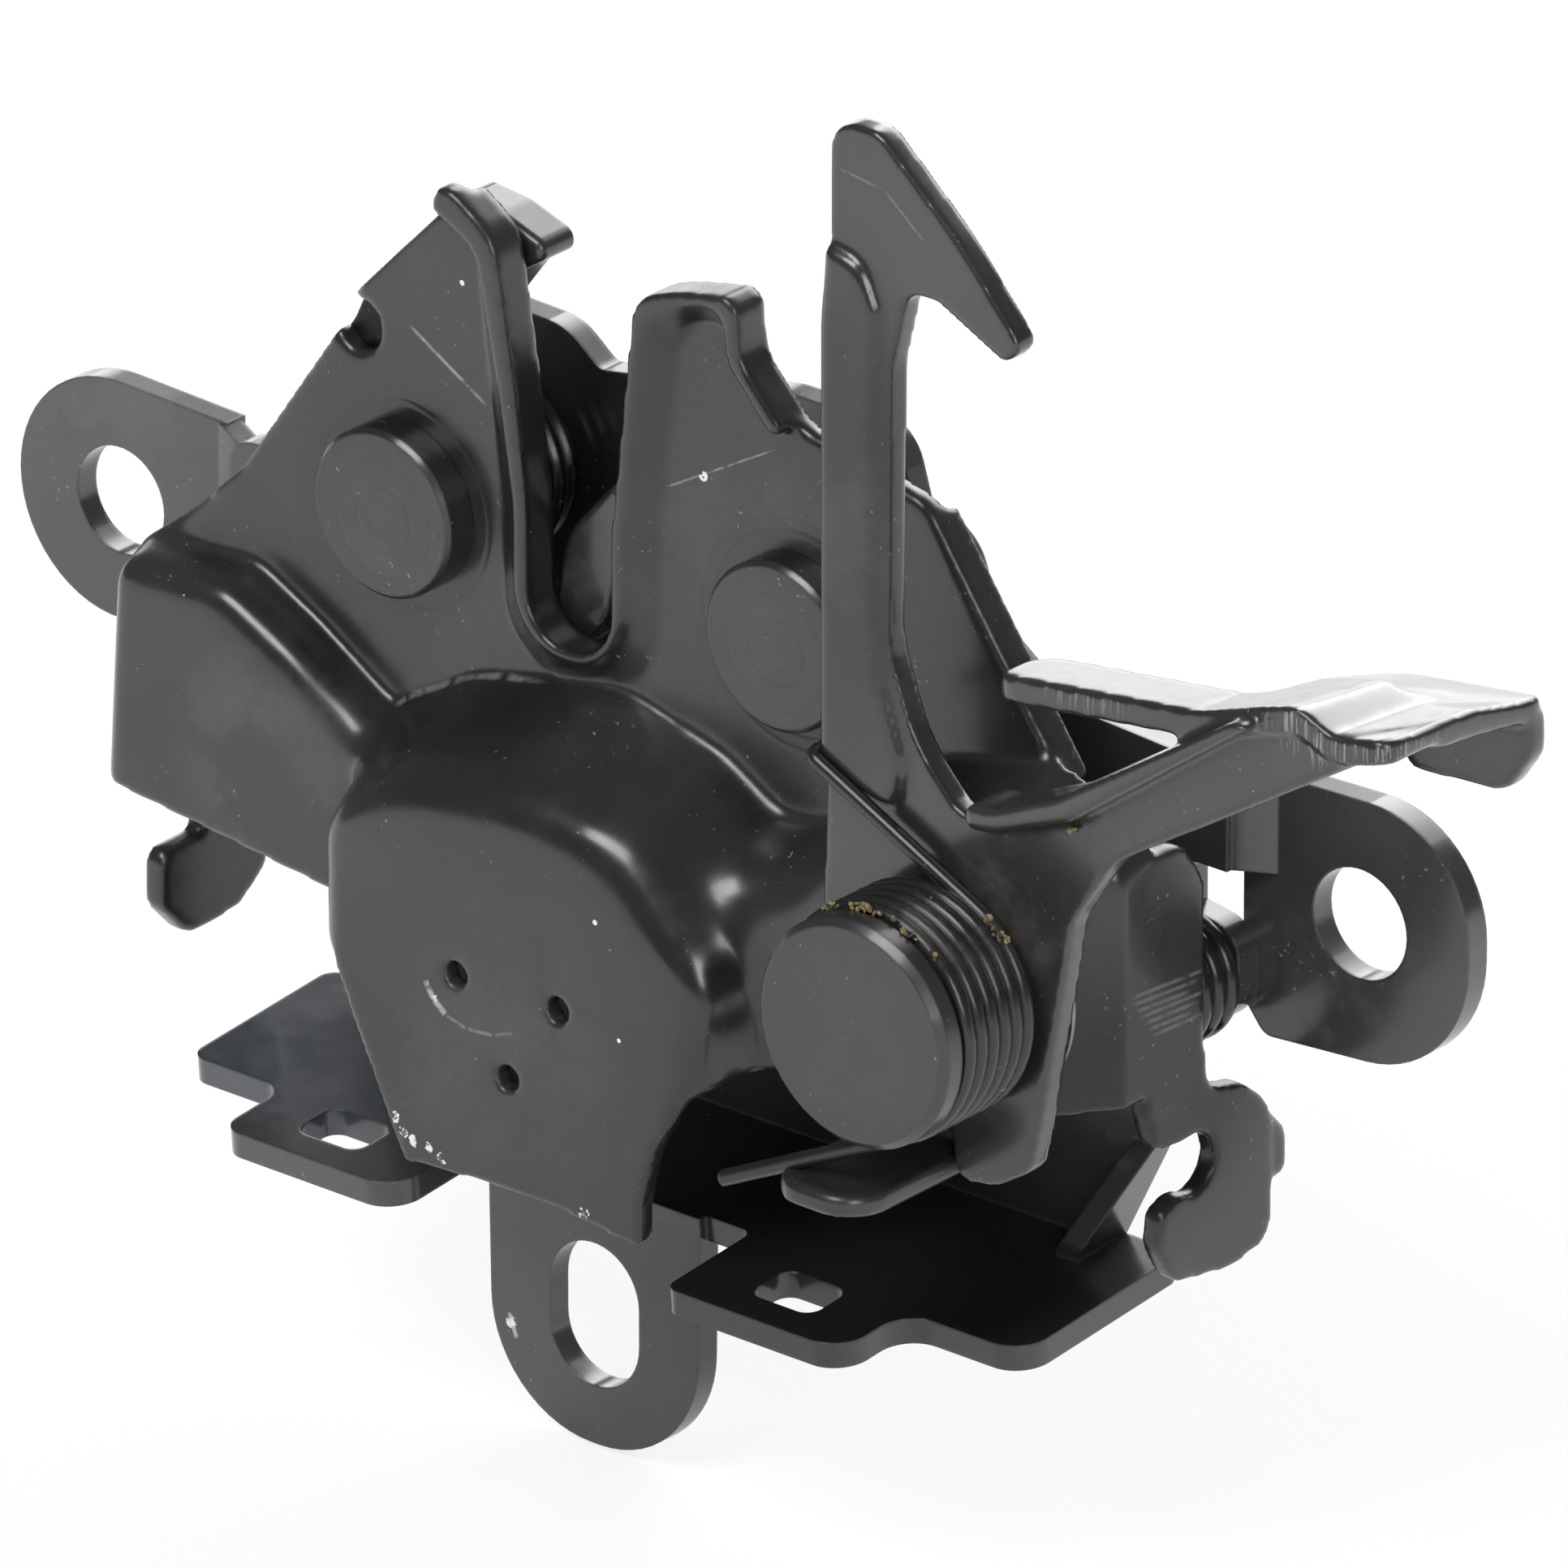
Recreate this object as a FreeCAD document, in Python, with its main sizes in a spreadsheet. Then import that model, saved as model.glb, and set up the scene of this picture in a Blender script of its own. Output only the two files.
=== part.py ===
import FreeCAD, Part
import Sketcher
import math
import os

# Bonnet latch with a safety hook, two upper mounting ears, a lower ear and a cable bracket.
# Millimetres. X runs along the plate from the left ear to the right ear.
# Y = 0 is the rear face of the two upper ears, where the latch is bolted on, and -Y is the front.
# Z is up. The origin is midway between the centres of the two upper ear holes.

ROOT = 0.3
TAPER = 0.04

os.makedirs("parts", exist_ok=True)
doc = FreeCAD.newDocument("bonnet_latch")

SIZES = [
    ("sheet_back", 2.9, "sheet of the back plate"),
    ("sheet_front", 2.5, "sheet of the front plate"),
    ("sheet_lever", 3.0, "sheet of the hook lever"),
    ("ear_span", 166.0, "between the upper ear holes"),
    ("ear_radius", 14.0, "outer radius of the upper ears"),
    ("ear_hole", 6.0, "radius of the upper ear holes"),
    ("joggle", 3.0, "step from the ears forward to the wall"),
    ("wall_bottom", -43.4, "top of the base plate at the wall"),
    ("base_depth", 38.4, "from the mounting plane to the front of the base plate"),
    ("base_tilt", 4.9, "fall of the base plate to the front, degrees"),
    ("base_mid", 4.5, "middle of the base plate along X"),
    ("base_width", 112.0, "overall width of the base plate"),
    ("flange_gap", 36.4, "gap between the two forward flanges"),
    ("flange_step", 10.0, "set-back of the outer part of each flange"),
    ("flange_reach", 83.4, "over the forward parts of both flanges"),
    ("base_slot_pitch", 61.0, "between the slots of the base plate"),
    ("base_slot_long", 8.4, "length of those slots"),
    ("base_slot_wide", 6.2, "width of those slots"),
    ("base_slot_depth", 31.6, "from the mounting plane to those slots"),
    ("low_ear_mid", 1.0, "middle of the lower ear along X"),
    ("low_ear_width", 28.5, "width of the lower ear"),
    ("low_ear_face", 25.5, "from the mounting plane to the front of the lower ear"),
    ("low_ear_drop", 74.9, "lowest point of the lower ear under the ear holes"),
    ("low_slot_radius", 6.0, "half the width of the lower slot"),
    ("low_slot_travel", 4.2, "straight length of the lower slot"),
    ("low_slot_level", 60.2, "middle of the lower slot under the ear holes"),
    ("front_face", 22.9, "from the mounting plane to the flat of the front plate"),
    ("panel_rise", 6.5, "rise of the left panel"),
    ("ledge_rise", 9.6, "rise of the ledge under the hook lever"),
    ("bulge_rise", 16.4, "rise of the deep bulge"),
    ("rivet_span", 52.4, "between the claw and pawl rivets"),
    ("rivet_level", 22.2, "height of the two rivets"),
    ("rivet_head", 9.2, "radius of the rivet heads"),
    ("rivet_head_high", 4.0, "height of the rivet heads"),
    ("rivet_shank", 5.0, "radius of the rivet shanks"),
    ("rivet_tail", 7.4, "radius of the rear heads"),
    ("rivet_tail_high", 2.4, "height of the rear heads"),
    ("slot_mid", -2.5, "middle of the striker slot along X"),
    ("slot_wide", 11.2, "width of the striker slot near its foot"),
    ("slot_foot", 13.0, "height of the foot of the striker slot"),
    ("rim_high", 2.4, "height of the rim round the striker slot"),
    ("rim_wide", 1.5, "width of the flat top of the rim"),
    ("rim_foot", 4.8, "width of the rim at its foot"),
    ("tower_left", 59.4, "top of the left tower"),
    ("tower_right", 57.6, "top of the right tower"),
    ("dimple_hole", 1.4, "radius of the three small holes of the bulge"),
    ("claw_thick", 5.0, "thickness of the claw"),
    ("pawl_thick", 5.0, "thickness of the pawl"),
    ("washer_thick", 0.5, "thickness of the washers"),
    ("side_play", 0.1, "play between a moving plate and its washer"),
    ("run_clear", 0.06, "radial clearance of a turning bore"),
    ("fit_clear", 0.04, "radial clearance of a fixed shank"),
    ("pin_x", 56.7, "lever pin along X"),
    ("pin_level", -3.1, "height of the lever pin"),
    ("pin_head", 12.3, "radius of the pin head"),
    ("pin_head_high", 2.8, "height of the pin head"),
    ("pin_shank", 7.6, "radius of the pin shank"),
    ("pin_tail", 8.4, "radius of the rear head of the pin"),
    ("pin_tail_high", 3.0, "height of the rear head of the pin"),
    ("bush_radius", 10.3, "outer radius of the bush on the pin"),
    ("coil_room", 12.4, "room for the coil between the lever and the pin head"),
    ("spring_wire", 1.75, "wire of the lever spring"),
    ("coil_inner", 11.0, "inner radius of the lever spring"),
    ("arm_width", 8.3, "width of the upright arm of the lever"),
    ("hook_top", 87.0, "top of the hook"),
    ("emboss", 1.2, "height of the channel pressed in the lever"),
    ("stop_reach", 18.4, "reach of the spring stop in front of the ledge"),
    ("stop_width", 12.0, "width of the spring stop"),
    ("stop_play", 0.3, "gap between the lever and the spring stop"),
    ("finger_depth", 25.5, "depth of the finger plate at its right end"),
    ("finger_lip", 12.0, "drop of the lip of the finger plate"),
    ("side_wall", 72.3, "outer face of the right side wall"),
    ("left_wall", -62.8, "outer face of the left side wall"),
    ("cable_level", -25.4, "height of the cable notch"),
    ("cable_depth", 15.6, "from the mounting plane to the cable notch"),
    ("cable_notch", 3.3, "radius of the cable notch"),
    ("post_inset", 19.0, "from the right ear hole back to the post of the pawl spring"),
    ("post_level", -9.3, "height of the post of the pawl spring"),
    ("post_radius", 4.5, "radius of the post"),
    ("pawl_wire", 2.0, "wire of the pawl spring"),
    ("claw_wire", 1.8, "wire of the claw spring"),
]

sheet = doc.addObject("Spreadsheet::Sheet", "sizes")
for row, (alias, value, note) in enumerate(SIZES, start=1):
    sheet.set("A%d" % row, note)
    sheet.set("B%d" % row, str(value))
    sheet.setAlias("B%d" % row, alias)
doc.recompute()
S = {alias: float(sheet.get(alias)) for alias, value, note in SIZES}


# Shared construction steps

def path_edges(points):
    """Edges of a closed outline. A third number on a point is its corner radius."""
    corners = []
    count = len(points)
    for index, point in enumerate(points):
        here = FreeCAD.Vector(point[0], point[1], 0)
        before = FreeCAD.Vector(points[index - 1][0], points[index - 1][1], 0)
        after = FreeCAD.Vector(points[(index + 1) % count][0], points[(index + 1) % count][1], 0)
        radius = point[2] if len(point) > 2 else 0.0
        back = before - here
        ahead = after - here
        turn = back.getAngle(ahead)
        if radius <= 0 or turn > math.radians(179.0):
            corners.append((here, None, here))
            continue
        reach = radius / math.tan(turn / 2)
        reach = min(reach, 0.5 * back.Length, 0.5 * ahead.Length)
        radius = reach * math.tan(turn / 2)
        first = FreeCAD.Vector(back).normalize()
        second = FreeCAD.Vector(ahead).normalize()
        bisector = (first + second).normalize()
        top = here + bisector * (radius / math.sin(turn / 2) - radius)
        corners.append((here + first * reach, top, here + second * reach))
    edges = []
    for index, (start, top, end) in enumerate(corners):
        if top is not None:
            edges.append(Part.Arc(start, top, end))
        following = corners[(index + 1) % count][0]
        if (following - end).Length > 1e-4:
            edges.append(Part.LineSegment(end, following))
    return edges


def between(low, high, share):
    """An outline part of the way from one outline to another."""
    return [tuple(a + (b - a) * share for a, b in zip(p, q)) for p, q in zip(low, high)]


def new_body(label):
    body = doc.addObject("PartDesign::Body", label)
    body.Label = label
    return body


def plane_of(body, role):
    for feature in body.Origin.OriginFeatures:
        if feature.Role == role:
            return feature


def new_sketch(body, name, role, offset=0.0, bound=None, turn=None):
    """A sketch on an origin plane, set off along the plane's normal."""
    drawing = body.newObject("Sketcher::SketchObject", name)
    drawing.AttachmentSupport = [(plane_of(body, role), "")]
    drawing.MapMode = "FlatFace"
    rotation = FreeCAD.Rotation() if turn is None else turn
    drawing.AttachmentOffset = FreeCAD.Placement(FreeCAD.Vector(0, 0, offset), rotation)
    if bound is not None:
        drawing.setExpression("AttachmentOffset.Base.z", bound)
    return drawing


def draw(drawing, points):
    for edge in path_edges(points):
        drawing.addGeometry(edge, False)


def draw_circle(drawing, x, z, radius, bound=None):
    centre = FreeCAD.Vector(x, z, 0)
    index = drawing.addGeometry(Part.Circle(centre, FreeCAD.Vector(0, 0, 1), radius), False)
    if bound is not None:
        number = drawing.addConstraint(Sketcher.Constraint("Radius", index, radius))
        drawing.setExpression("Constraints[%d]" % number, bound)


def draw_slot(drawing, x, z, half_wide, travel):
    """An upright slot with round ends."""
    low = z - travel / 2 - half_wide
    high = z + travel / 2 + half_wide
    draw(drawing, [(x - half_wide, low, half_wide), (x + half_wide, low, half_wide),
                   (x + half_wide, high, half_wide), (x - half_wide, high, half_wide)])


def pad(body, name, drawing, length, bound=None, forward=True):
    feature = body.newObject("PartDesign::Pad", name)
    feature.Profile = drawing
    feature.Length = length
    feature.Reversed = not forward
    if bound is not None:
        feature.setExpression("Length", bound)
    return feature


def pocket(body, name, drawing, length, along=False):
    """A cut against the normal of the sketch, or along it."""
    feature = body.newObject("PartDesign::Pocket", name)
    feature.Profile = drawing
    feature.Length = length
    feature.Reversed = along
    return feature


def add_plate(body, name, points, face, thick, face_bound=None, thick_bound=None):
    """A plate parallel to XZ whose front face lies at Y = -face."""
    drawing = new_sketch(body, name + "_outline", "XZ_Plane", face, face_bound)
    draw(drawing, points)
    return pad(body, name, drawing, thick, thick_bound, forward=False)


def cut_holes(body, name, face, depth, circles):
    """Round holes between Y = -face and Y = -face + depth, each (x, z, radius, binding)."""
    drawing = new_sketch(body, name + "_outline", "XZ_Plane", face)
    for x, z, radius, bound in circles:
        draw_circle(drawing, x, z, radius, bound)
    return pocket(body, name, drawing, depth)


def cut_shape(body, name, face, depth, points):
    drawing = new_sketch(body, name + "_outline", "XZ_Plane", face)
    draw(drawing, points)
    return pocket(body, name, drawing, depth)


def loft(body, name, kind, sections):
    """A ruled loft through outlines, each (distance in front of Y = 0, points)."""
    drawings = []
    for index, (face, points) in enumerate(sections):
        drawing = new_sketch(body, "%s_section_%d" % (name, index), "XZ_Plane", face)
        draw(drawing, points)
        drawings.append(drawing)
    feature = body.newObject(kind, name)
    feature.Profile = drawings[0]
    feature.Sections = drawings[1:]
    feature.Ruled = True
    return feature


def round_edges(body, name, radius, wanted):
    """Round the edges of the body that the test picks by their points."""
    doc.recompute()
    base = body.Tip
    names = []
    for index, edge in enumerate(base.Shape.Edges, start=1):
        if wanted([edge.valueAt(edge.FirstParameter), edge.valueAt(edge.LastParameter),
                   edge.valueAt((edge.FirstParameter + edge.LastParameter) / 2)]):
            names.append("Edge%d" % index)
    feature = body.newObject("PartDesign::Fillet", name)
    feature.Base = (base, names)
    feature.Radius = radius
    return feature


def turned(label, profile, x, z):
    """A body of revolution about an axis along Y. The profile gives (radius, distance in front of Y = 0)."""
    body = new_body(label)
    drawing = new_sketch(body, label + "_profile", "XY_Plane")
    draw(drawing, [(radius, -front) for radius, front in profile])
    feature = body.newObject("PartDesign::Revolution", label + "_turned")
    feature.Profile = drawing
    feature.ReferenceAxis = (drawing, ["V_Axis"])
    feature.Angle = 360.0
    body.Placement = FreeCAD.Placement(FreeCAD.Vector(x, 0, z), FreeCAD.Rotation())
    return body


def ring(label, inner, outer, front, back, x, z):
    return turned(label, [(inner, front), (outer, front), (outer, back), (inner, back)], x, z)


def rod(body, name, start, end, radius):
    """A straight run of wire from one point to another. It starts a little inside the piece that it grows from."""
    run = end - start
    start = start - run * (ROOT / run.Length)
    run = end - start
    drawing = new_sketch(body, name + "_section", "XY_Plane")
    drawing.AttachmentOffset = FreeCAD.Placement(start, FreeCAD.Rotation(FreeCAD.Vector(0, 0, 1), run))
    draw_circle(drawing, 0, 0, radius)
    return pad(body, name, drawing, run.Length)


def draw_wire(drawing, x, y, wire):
    """The section of a coiled wire. It has eight flats, so that its many turns stay light."""
    corner = wire / 2 / math.cos(math.pi / 8)
    draw(drawing, [(x + corner * math.cos(math.pi * (k + 0.5) / 4), y + corner * math.sin(math.pi * (k + 0.5) / 4)) for k in range(8)])


def coil(label, x, z, middle, wire, rear, pitch, start, turns):
    """A coil about an axis along Y that runs forward from Y = -rear, turning clockwise seen from the front.
    It is made of half turns that are tilted a little, each about the line it starts along, so that they meet smoothly.
    Angles are counted from +X towards +Z. Gives the body and the two ends with their outward directions."""
    body = new_body(label)
    ends = []
    count = math.ceil(2 * turns)
    radius = math.hypot(middle, pitch / 4)
    for k in range(count):
        a = math.radians(start - 180 * k)
        sweep = min(180.0, 360.0 * turns - 180.0 * k)
        centre = FreeCAD.Vector(0, -rear - pitch * (k + 0.5) / 2, 0)
        arm = FreeCAD.Vector(middle * math.cos(a), pitch / 4, middle * math.sin(a)).normalize()
        ahead = FreeCAD.Vector(math.sin(a), 0, -math.cos(a))
        drawing = new_sketch(body, "%s_section_%d" % (label, k + 1), "XY_Plane")
        drawing.AttachmentOffset = FreeCAD.Placement(centre, FreeCAD.Rotation(arm, arm.cross(ahead), -ahead, "XYZ"))
        draw_wire(drawing, radius, 0, wire)
        feature = body.newObject("PartDesign::Revolution", "%s_half_turn_%d" % (label, k + 1))
        feature.Profile = drawing
        feature.ReferenceAxis = (drawing, ["V_Axis"])
        feature.Angle = sweep
        if k == 0:
            ends.append((centre + arm * radius, -ahead))
    sweep = math.radians(sweep)
    ends.append((centre + arm * (radius * math.cos(sweep)) + ahead * (radius * math.sin(sweep)), ahead * math.cos(sweep) - arm * math.sin(sweep)))
    body.Placement = FreeCAD.Placement(FreeCAD.Vector(x, 0, z), FreeCAD.Rotation())
    return body, ends[0], ends[1]


# Levels in front of the mounting plane

skin = S["sheet_front"]
wall_face = S["joggle"] + S["sheet_back"]
front_face = S["front_face"]
front_back = front_face - skin
panel_face = front_face + S["panel_rise"]
ledge_face = front_face + S["ledge_rise"]
bulge_face = front_face + S["bulge_rise"]
lever_back = ledge_face + S["washer_thick"] + S["side_play"]
lever_face = lever_back + S["sheet_lever"]
head_back = lever_face + S["coil_room"]
plate_face = front_back - S["washer_thick"] - S["side_play"]
claw_back = plate_face - S["claw_thick"]
pawl_back = plate_face - S["pawl_thick"]
claw_x = -S["rivet_span"] / 2
pawl_x = S["rivet_span"] / 2
level = S["rivet_level"]
pin_x = S["pin_x"]
pin_z = S["pin_level"]
ear_left = -S["ear_span"] / 2
ear_right = S["ear_span"] / 2
ear_r = S["ear_radius"]
step = S["joggle"]
post_x = S["ear_span"] / 2 - S["post_inset"]
post_z = S["post_level"]
wall_bound = "sizes.joggle + sizes.sheet_back"
ledge_bound = "sizes.front_face + sizes.ledge_rise"

# Back plate: wall, two joggled ears, base plate with a lower ear, gusset

back = new_body("back_plate")
base_left = S["base_mid"] - S["base_width"] / 2
base_right = S["base_mid"] + S["base_width"] / 2
wall_low = S["wall_bottom"] - S["sheet_back"]
crease_left = ear_left + ear_r + 0.9
crease_right = ear_right - ear_r + 2.2
edge_low = base_right - 7.4
edge_top = base_right - 0.6
add_plate(back, "wall", [
    (base_left + 5, wall_low), (base_left + 5, -16, 4), (crease_left + step, -ear_r + 1, 3), (crease_left + step, ear_r - 1, 3),
    (claw_x - 18, ear_r + 1, 6), (claw_x - 16.4, level + 11, 14), (claw_x - 4, level + 16.4, 12), (claw_x + 7, level + 16.0, 7),
    (claw_x + 11.6, level + 12.4, 2), (pawl_x - 16, level + 16.8, 12), (pawl_x - 1.4, level + 16.8, 6), (pawl_x + 2.4, level + 4, 8),
    (pawl_x + 18, ear_r + 1, 8), (crease_right - step, ear_r - 0.6), (crease_right - step, 2.4), (post_x - 0.6, 2.4, 1),
    (post_x - 0.6, post_z + 6.4), (post_x + 5.8, post_z + 5.4, 4.5), (post_x + 5.8, post_z - 5.8, 5), (post_x - 6, post_z - 5.8, 4),
    (edge_top, -25, 5), (edge_top, -29.5, 2), (edge_low, S["wall_bottom"]), (edge_low, wall_low)], wall_face, S["sheet_back"], wall_bound, "sizes.sheet_back")
add_plate(back, "left_ear", [
    (crease_left, ear_r - 1.2), (ear_left - ear_r, ear_r, ear_r), (ear_left - ear_r, -ear_r, ear_r), (crease_left, -ear_r + 1)], S["sheet_back"], S["sheet_back"], "sizes.sheet_back", "sizes.sheet_back")
add_plate(back, "right_ear", [
    (crease_right, ear_r - 0.8), (ear_right + ear_r, ear_r, ear_r), (ear_right + ear_r, -ear_r, ear_r), (crease_right - 0.4, -ear_r - 1.9, 2), (crease_right - 3.2, -ear_r + 1.6, 1.5),
    (crease_right - 3.2, 2.4), (crease_right, 2.4)],
    S["sheet_back"], S["sheet_back"], "sizes.sheet_back", "sizes.sheet_back")
for side, crease, sign, low, high in (
        ("left", crease_left, -1, -ear_r + 1, ear_r - 1.4), ("right", crease_right, 1, 2.4, ear_r - 0.6)):
    # The slope of the joggle, drawn in plan
    drawing = new_sketch(back, side + "_joggle_outline", "XY_Plane", low)
    near = crease + sign * 1.2
    far = crease - sign * (step + 1.2)
    draw(drawing, [(near, 0), (near, -S["sheet_back"]), (far, -wall_face), (far, -step)])
    pad(back, side + "_joggle", drawing, high - low)
cut_holes(back, "ear_holes", S["sheet_back"] + 1, S["sheet_back"] + 2, [
    (ear_left, 0, S["ear_hole"], "sizes.ear_hole"), (ear_right, 0, S["ear_hole"], "sizes.ear_hole")])

gap_left = S["low_ear_mid"] + 2.3 - S["flange_gap"] / 2
gap_right = S["low_ear_mid"] + 2.3 + S["flange_gap"] / 2
reach_left = S["low_ear_mid"] + 2.2 - S["flange_reach"] / 2
reach_right = S["low_ear_mid"] + 2.2 + S["flange_reach"] / 2
front_y = -S["base_depth"]
step_y = front_y + S["flange_step"]
low_left = S["low_ear_mid"] - S["low_ear_width"] / 2
low_right = S["low_ear_mid"] + S["low_ear_width"] / 2
low_front = -S["low_ear_face"]
slope = math.tan(math.radians(S["base_tilt"]))
tilt = FreeCAD.Rotation(FreeCAD.Vector(1, 0, 0), S["base_tilt"])
drawing = new_sketch(back, "base_outline", "XY_Plane", wall_low + wall_face * slope, None, tilt)
draw(drawing, [
    (base_left, step_y, 2), (reach_left, step_y, 2.5), (reach_left, front_y, 2.5), (gap_left, front_y, 4), (gap_left, low_front + 1, 0.6),
    (low_left, low_front + 1), (low_left, low_front), (low_right, low_front), (low_right, low_front + 1),
    (gap_right, low_front + 1, 1.2), (gap_right, front_y, 1.5), (reach_right, front_y, 4), (reach_right, step_y, 4),
    (base_right, step_y, 4), (base_right, -step, 2), (base_left + 5, -step), (base_left + 5, -wall_face, 1),
    (base_left, -wall_face, 2)])
pad(back, "base", drawing, S["sheet_back"], "sizes.sheet_back")
low_top = S["wall_bottom"] - (S["low_ear_face"] - wall_face) * slope - 1.5
low_r = S["low_ear_width"] / 2
add_plate(back, "low_ear", [
    (low_left, low_top), (low_left + 0.5, -S["low_ear_drop"], low_r - 0.8), (low_right - 0.4, -S["low_ear_drop"], low_r - 0.8),
    (low_right, low_top)], S["low_ear_face"], S["sheet_back"], "sizes.low_ear_face", "sizes.sheet_back")
drawing = new_sketch(back, "low_slot_outline", "XZ_Plane", S["low_ear_face"] + 1)
draw_slot(drawing, S["low_ear_mid"], -S["low_slot_level"], S["low_slot_radius"], S["low_slot_travel"])
pocket(back, "low_slot", drawing, S["sheet_back"] + 2)
drawing = new_sketch(back, "base_slots_outline", "XY_Plane", wall_low - 8)
for sign in (-1, 1):
    x = S["low_ear_mid"] + 2.0 + sign * S["base_slot_pitch"] / 2
    long = S["base_slot_long"] / 2
    wide = S["base_slot_wide"] / 2
    y = -S["base_slot_depth"]
    draw(drawing, [(x - long, y - wide, 1.8), (x + long, y - wide, 1.8), (x + long, y + wide, 1.8), (x - long, y + wide, 1.8)])
pocket(back, "base_slots", drawing, 14, along=True)
# Gusset: a flange folded forward along the slanted right edge of the wall, tapering to its top
thick = S["sheet_back"]
add_plate(back, "gusset", [
    (edge_low - thick, S["wall_bottom"] - 1.5), (edge_low, S["wall_bottom"] - 1.5), (edge_low, S["wall_bottom"]), (edge_top, -29.5),
    (edge_top - thick, -29.5), (edge_low - thick, S["wall_bottom"])], wall_face + 5, 5.5)
drawing = new_sketch(back, "gusset_taper_outline", "YZ_Plane", edge_low - 8)
draw(drawing, [(-wall_face - 8, S["wall_bottom"] + 1.2), (-wall_face - 4.8, S["wall_bottom"] + 1.2), (-wall_face, -30.5), (-wall_face, -26), (-wall_face - 8, -26)])
pocket(back, "gusset_taper", drawing, 20, along=True)
hole_fit = S["rivet_shank"] + S["fit_clear"]
fit_bound = "sizes.rivet_shank + sizes.fit_clear"
post_shank = S["post_radius"] - 1.5
cut_holes(back, "wall_holes", wall_face + 1, S["sheet_back"] + 2, [
    (claw_x, level, hole_fit, fit_bound), (pawl_x, level, hole_fit, fit_bound),
    (post_x, post_z, post_shank + S["fit_clear"], "sizes.post_radius - 1.5 + sizes.fit_clear")])

# Front plate: flat with two towers, drawn ledge, panel and bulge, side walls, rim and spring stop

front = new_body("front_plate")
half = S["slot_wide"] / 2
slot_left = S["slot_mid"] - half
slot_right = S["slot_mid"] + half
foot = S["slot_foot"]
top_left = S["tower_left"]
top_right = S["tower_right"]
wall_x = S["side_wall"]
left_x = S["left_wall"]
slot_edge = [
    (slot_left - 9.4, top_left, 1.5), (slot_left - 4.2, top_left - 3.4, 6), (slot_left - 1.6, 40, 30), (slot_left, 27, 20),
    (slot_left, foot, half - 0.3), (slot_right, foot, half - 0.3), (slot_right, 27, 20), (slot_right + 3.2, top_right - 2.8, 5),
    (slot_right + 8.8, top_right - 1.0, 5), (slot_right + 16.8, top_right + 0.6, 2), (slot_right + 17.2, top_right - 6.2, 5),
    (slot_right + 23, top_right - 12.6, 5)]
slope_left = [(-35.0, 39.6), (-48.6, 20.0)]
slope_right = [(42.8, top_right - 16.4), (61.8, 14.4)]
add_plate(front, "flat", slot_edge + [
    slope_right[0] + (4,), slope_right[1] + (3,), (wall_x, 10), (wall_x, -15), (30, -22), (left_x + 4, -16), (left_x, 3),
    (left_x, 7.6, 3), (-55.4, 13.6, 8), slope_left[1] + (6,), slope_left[0], (-33.0, 43.8, 2), (-22.0, 55.2, 1),
    (slot_left - 12.0, 56.4, 1)], front_face, skin, "sizes.front_face", "sizes.sheet_front")

ledge_low = [(14, -50, 0), (14, 2, 3), (30, 2.6, 10), (45, 14.5, 10), (60, 18.5, 8), (wall_x, 13, 5), (wall_x, -50, 0)]
ledge_high = [(15, -50, 0), (15, -3, 3), (31.5, -2.4, 10), (44, 9, 10), (58, 13.4, 8), (wall_x - 5.7, 10, 4), (wall_x - 5.7, -50, 0)]
ledge_mid = between(ledge_low, ledge_high, 0.485)
ledge_mid[5] = (wall_x, 11.8, 5)
ledge_mid[6] = (wall_x, -50, 0)
ledge_bend = front_face + 0.46 * S["ledge_rise"]
loft(front, "ledge", "PartDesign::AdditiveLoft", [
    (front_face - 0.5, ledge_low), (ledge_bend, ledge_mid), (ledge_face, ledge_high)])
round_edges(front, "ledge_roll", 2.4, lambda ps: all(abs(p.y + ledge_face) < 1e-3 and p.z > -45 for p in ps) and max(p.z for p in ps) > -20)
panel_low = [(left_x, -36, 0), (left_x, 9.0, 3), (-46, 9.8, 6), (-37.5, 5.4, 8), (-23.2, -3.6, 2), (-21, -36, 0)]
panel_high = [(left_x - 1.9, -36, 0), (left_x + 2.4, 8.6, 4), (-47, 9.4, 6), (-38, 4.8, 8), (-24.2, -4.0, 2), (-21, -36, 0)]
loft(front, "panel", "PartDesign::AdditiveLoft", [(front_face - 0.5, panel_low), (panel_face, panel_high)])
round_edges(front, "panel_roll", 2.8, lambda ps: all(abs(p.y + panel_face) < 1e-3 and p.x < -23.7 for p in ps) and max(p.z for p in ps) > 0)
bulge_low = [(-30.2, -54, 0), (-30.2, -2, 9), (-17, 6.2, 14), (2, 10.6, 20), (17, 6.4, 12), (31.5, -1.5, 12), (31.5, -54, 0)]
bulge_high = [(-23.6, -54, 0), (-23.6, -6, 8), (-14, 0.3, 12), (2, 1.7, 20), (14.5, 0.9, 9), (27, -12.5, 12), (27, -54, 0)]
loft(front, "bulge", "PartDesign::AdditiveLoft", [(front_face - 0.5, bulge_low), (bulge_face, bulge_high)])
round_edges(front, "bulge_roll", 3.6, lambda ps: all(abs(p.y + bulge_face) < 1e-3 for p in ps) and max(p.z for p in ps) > -50)

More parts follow.
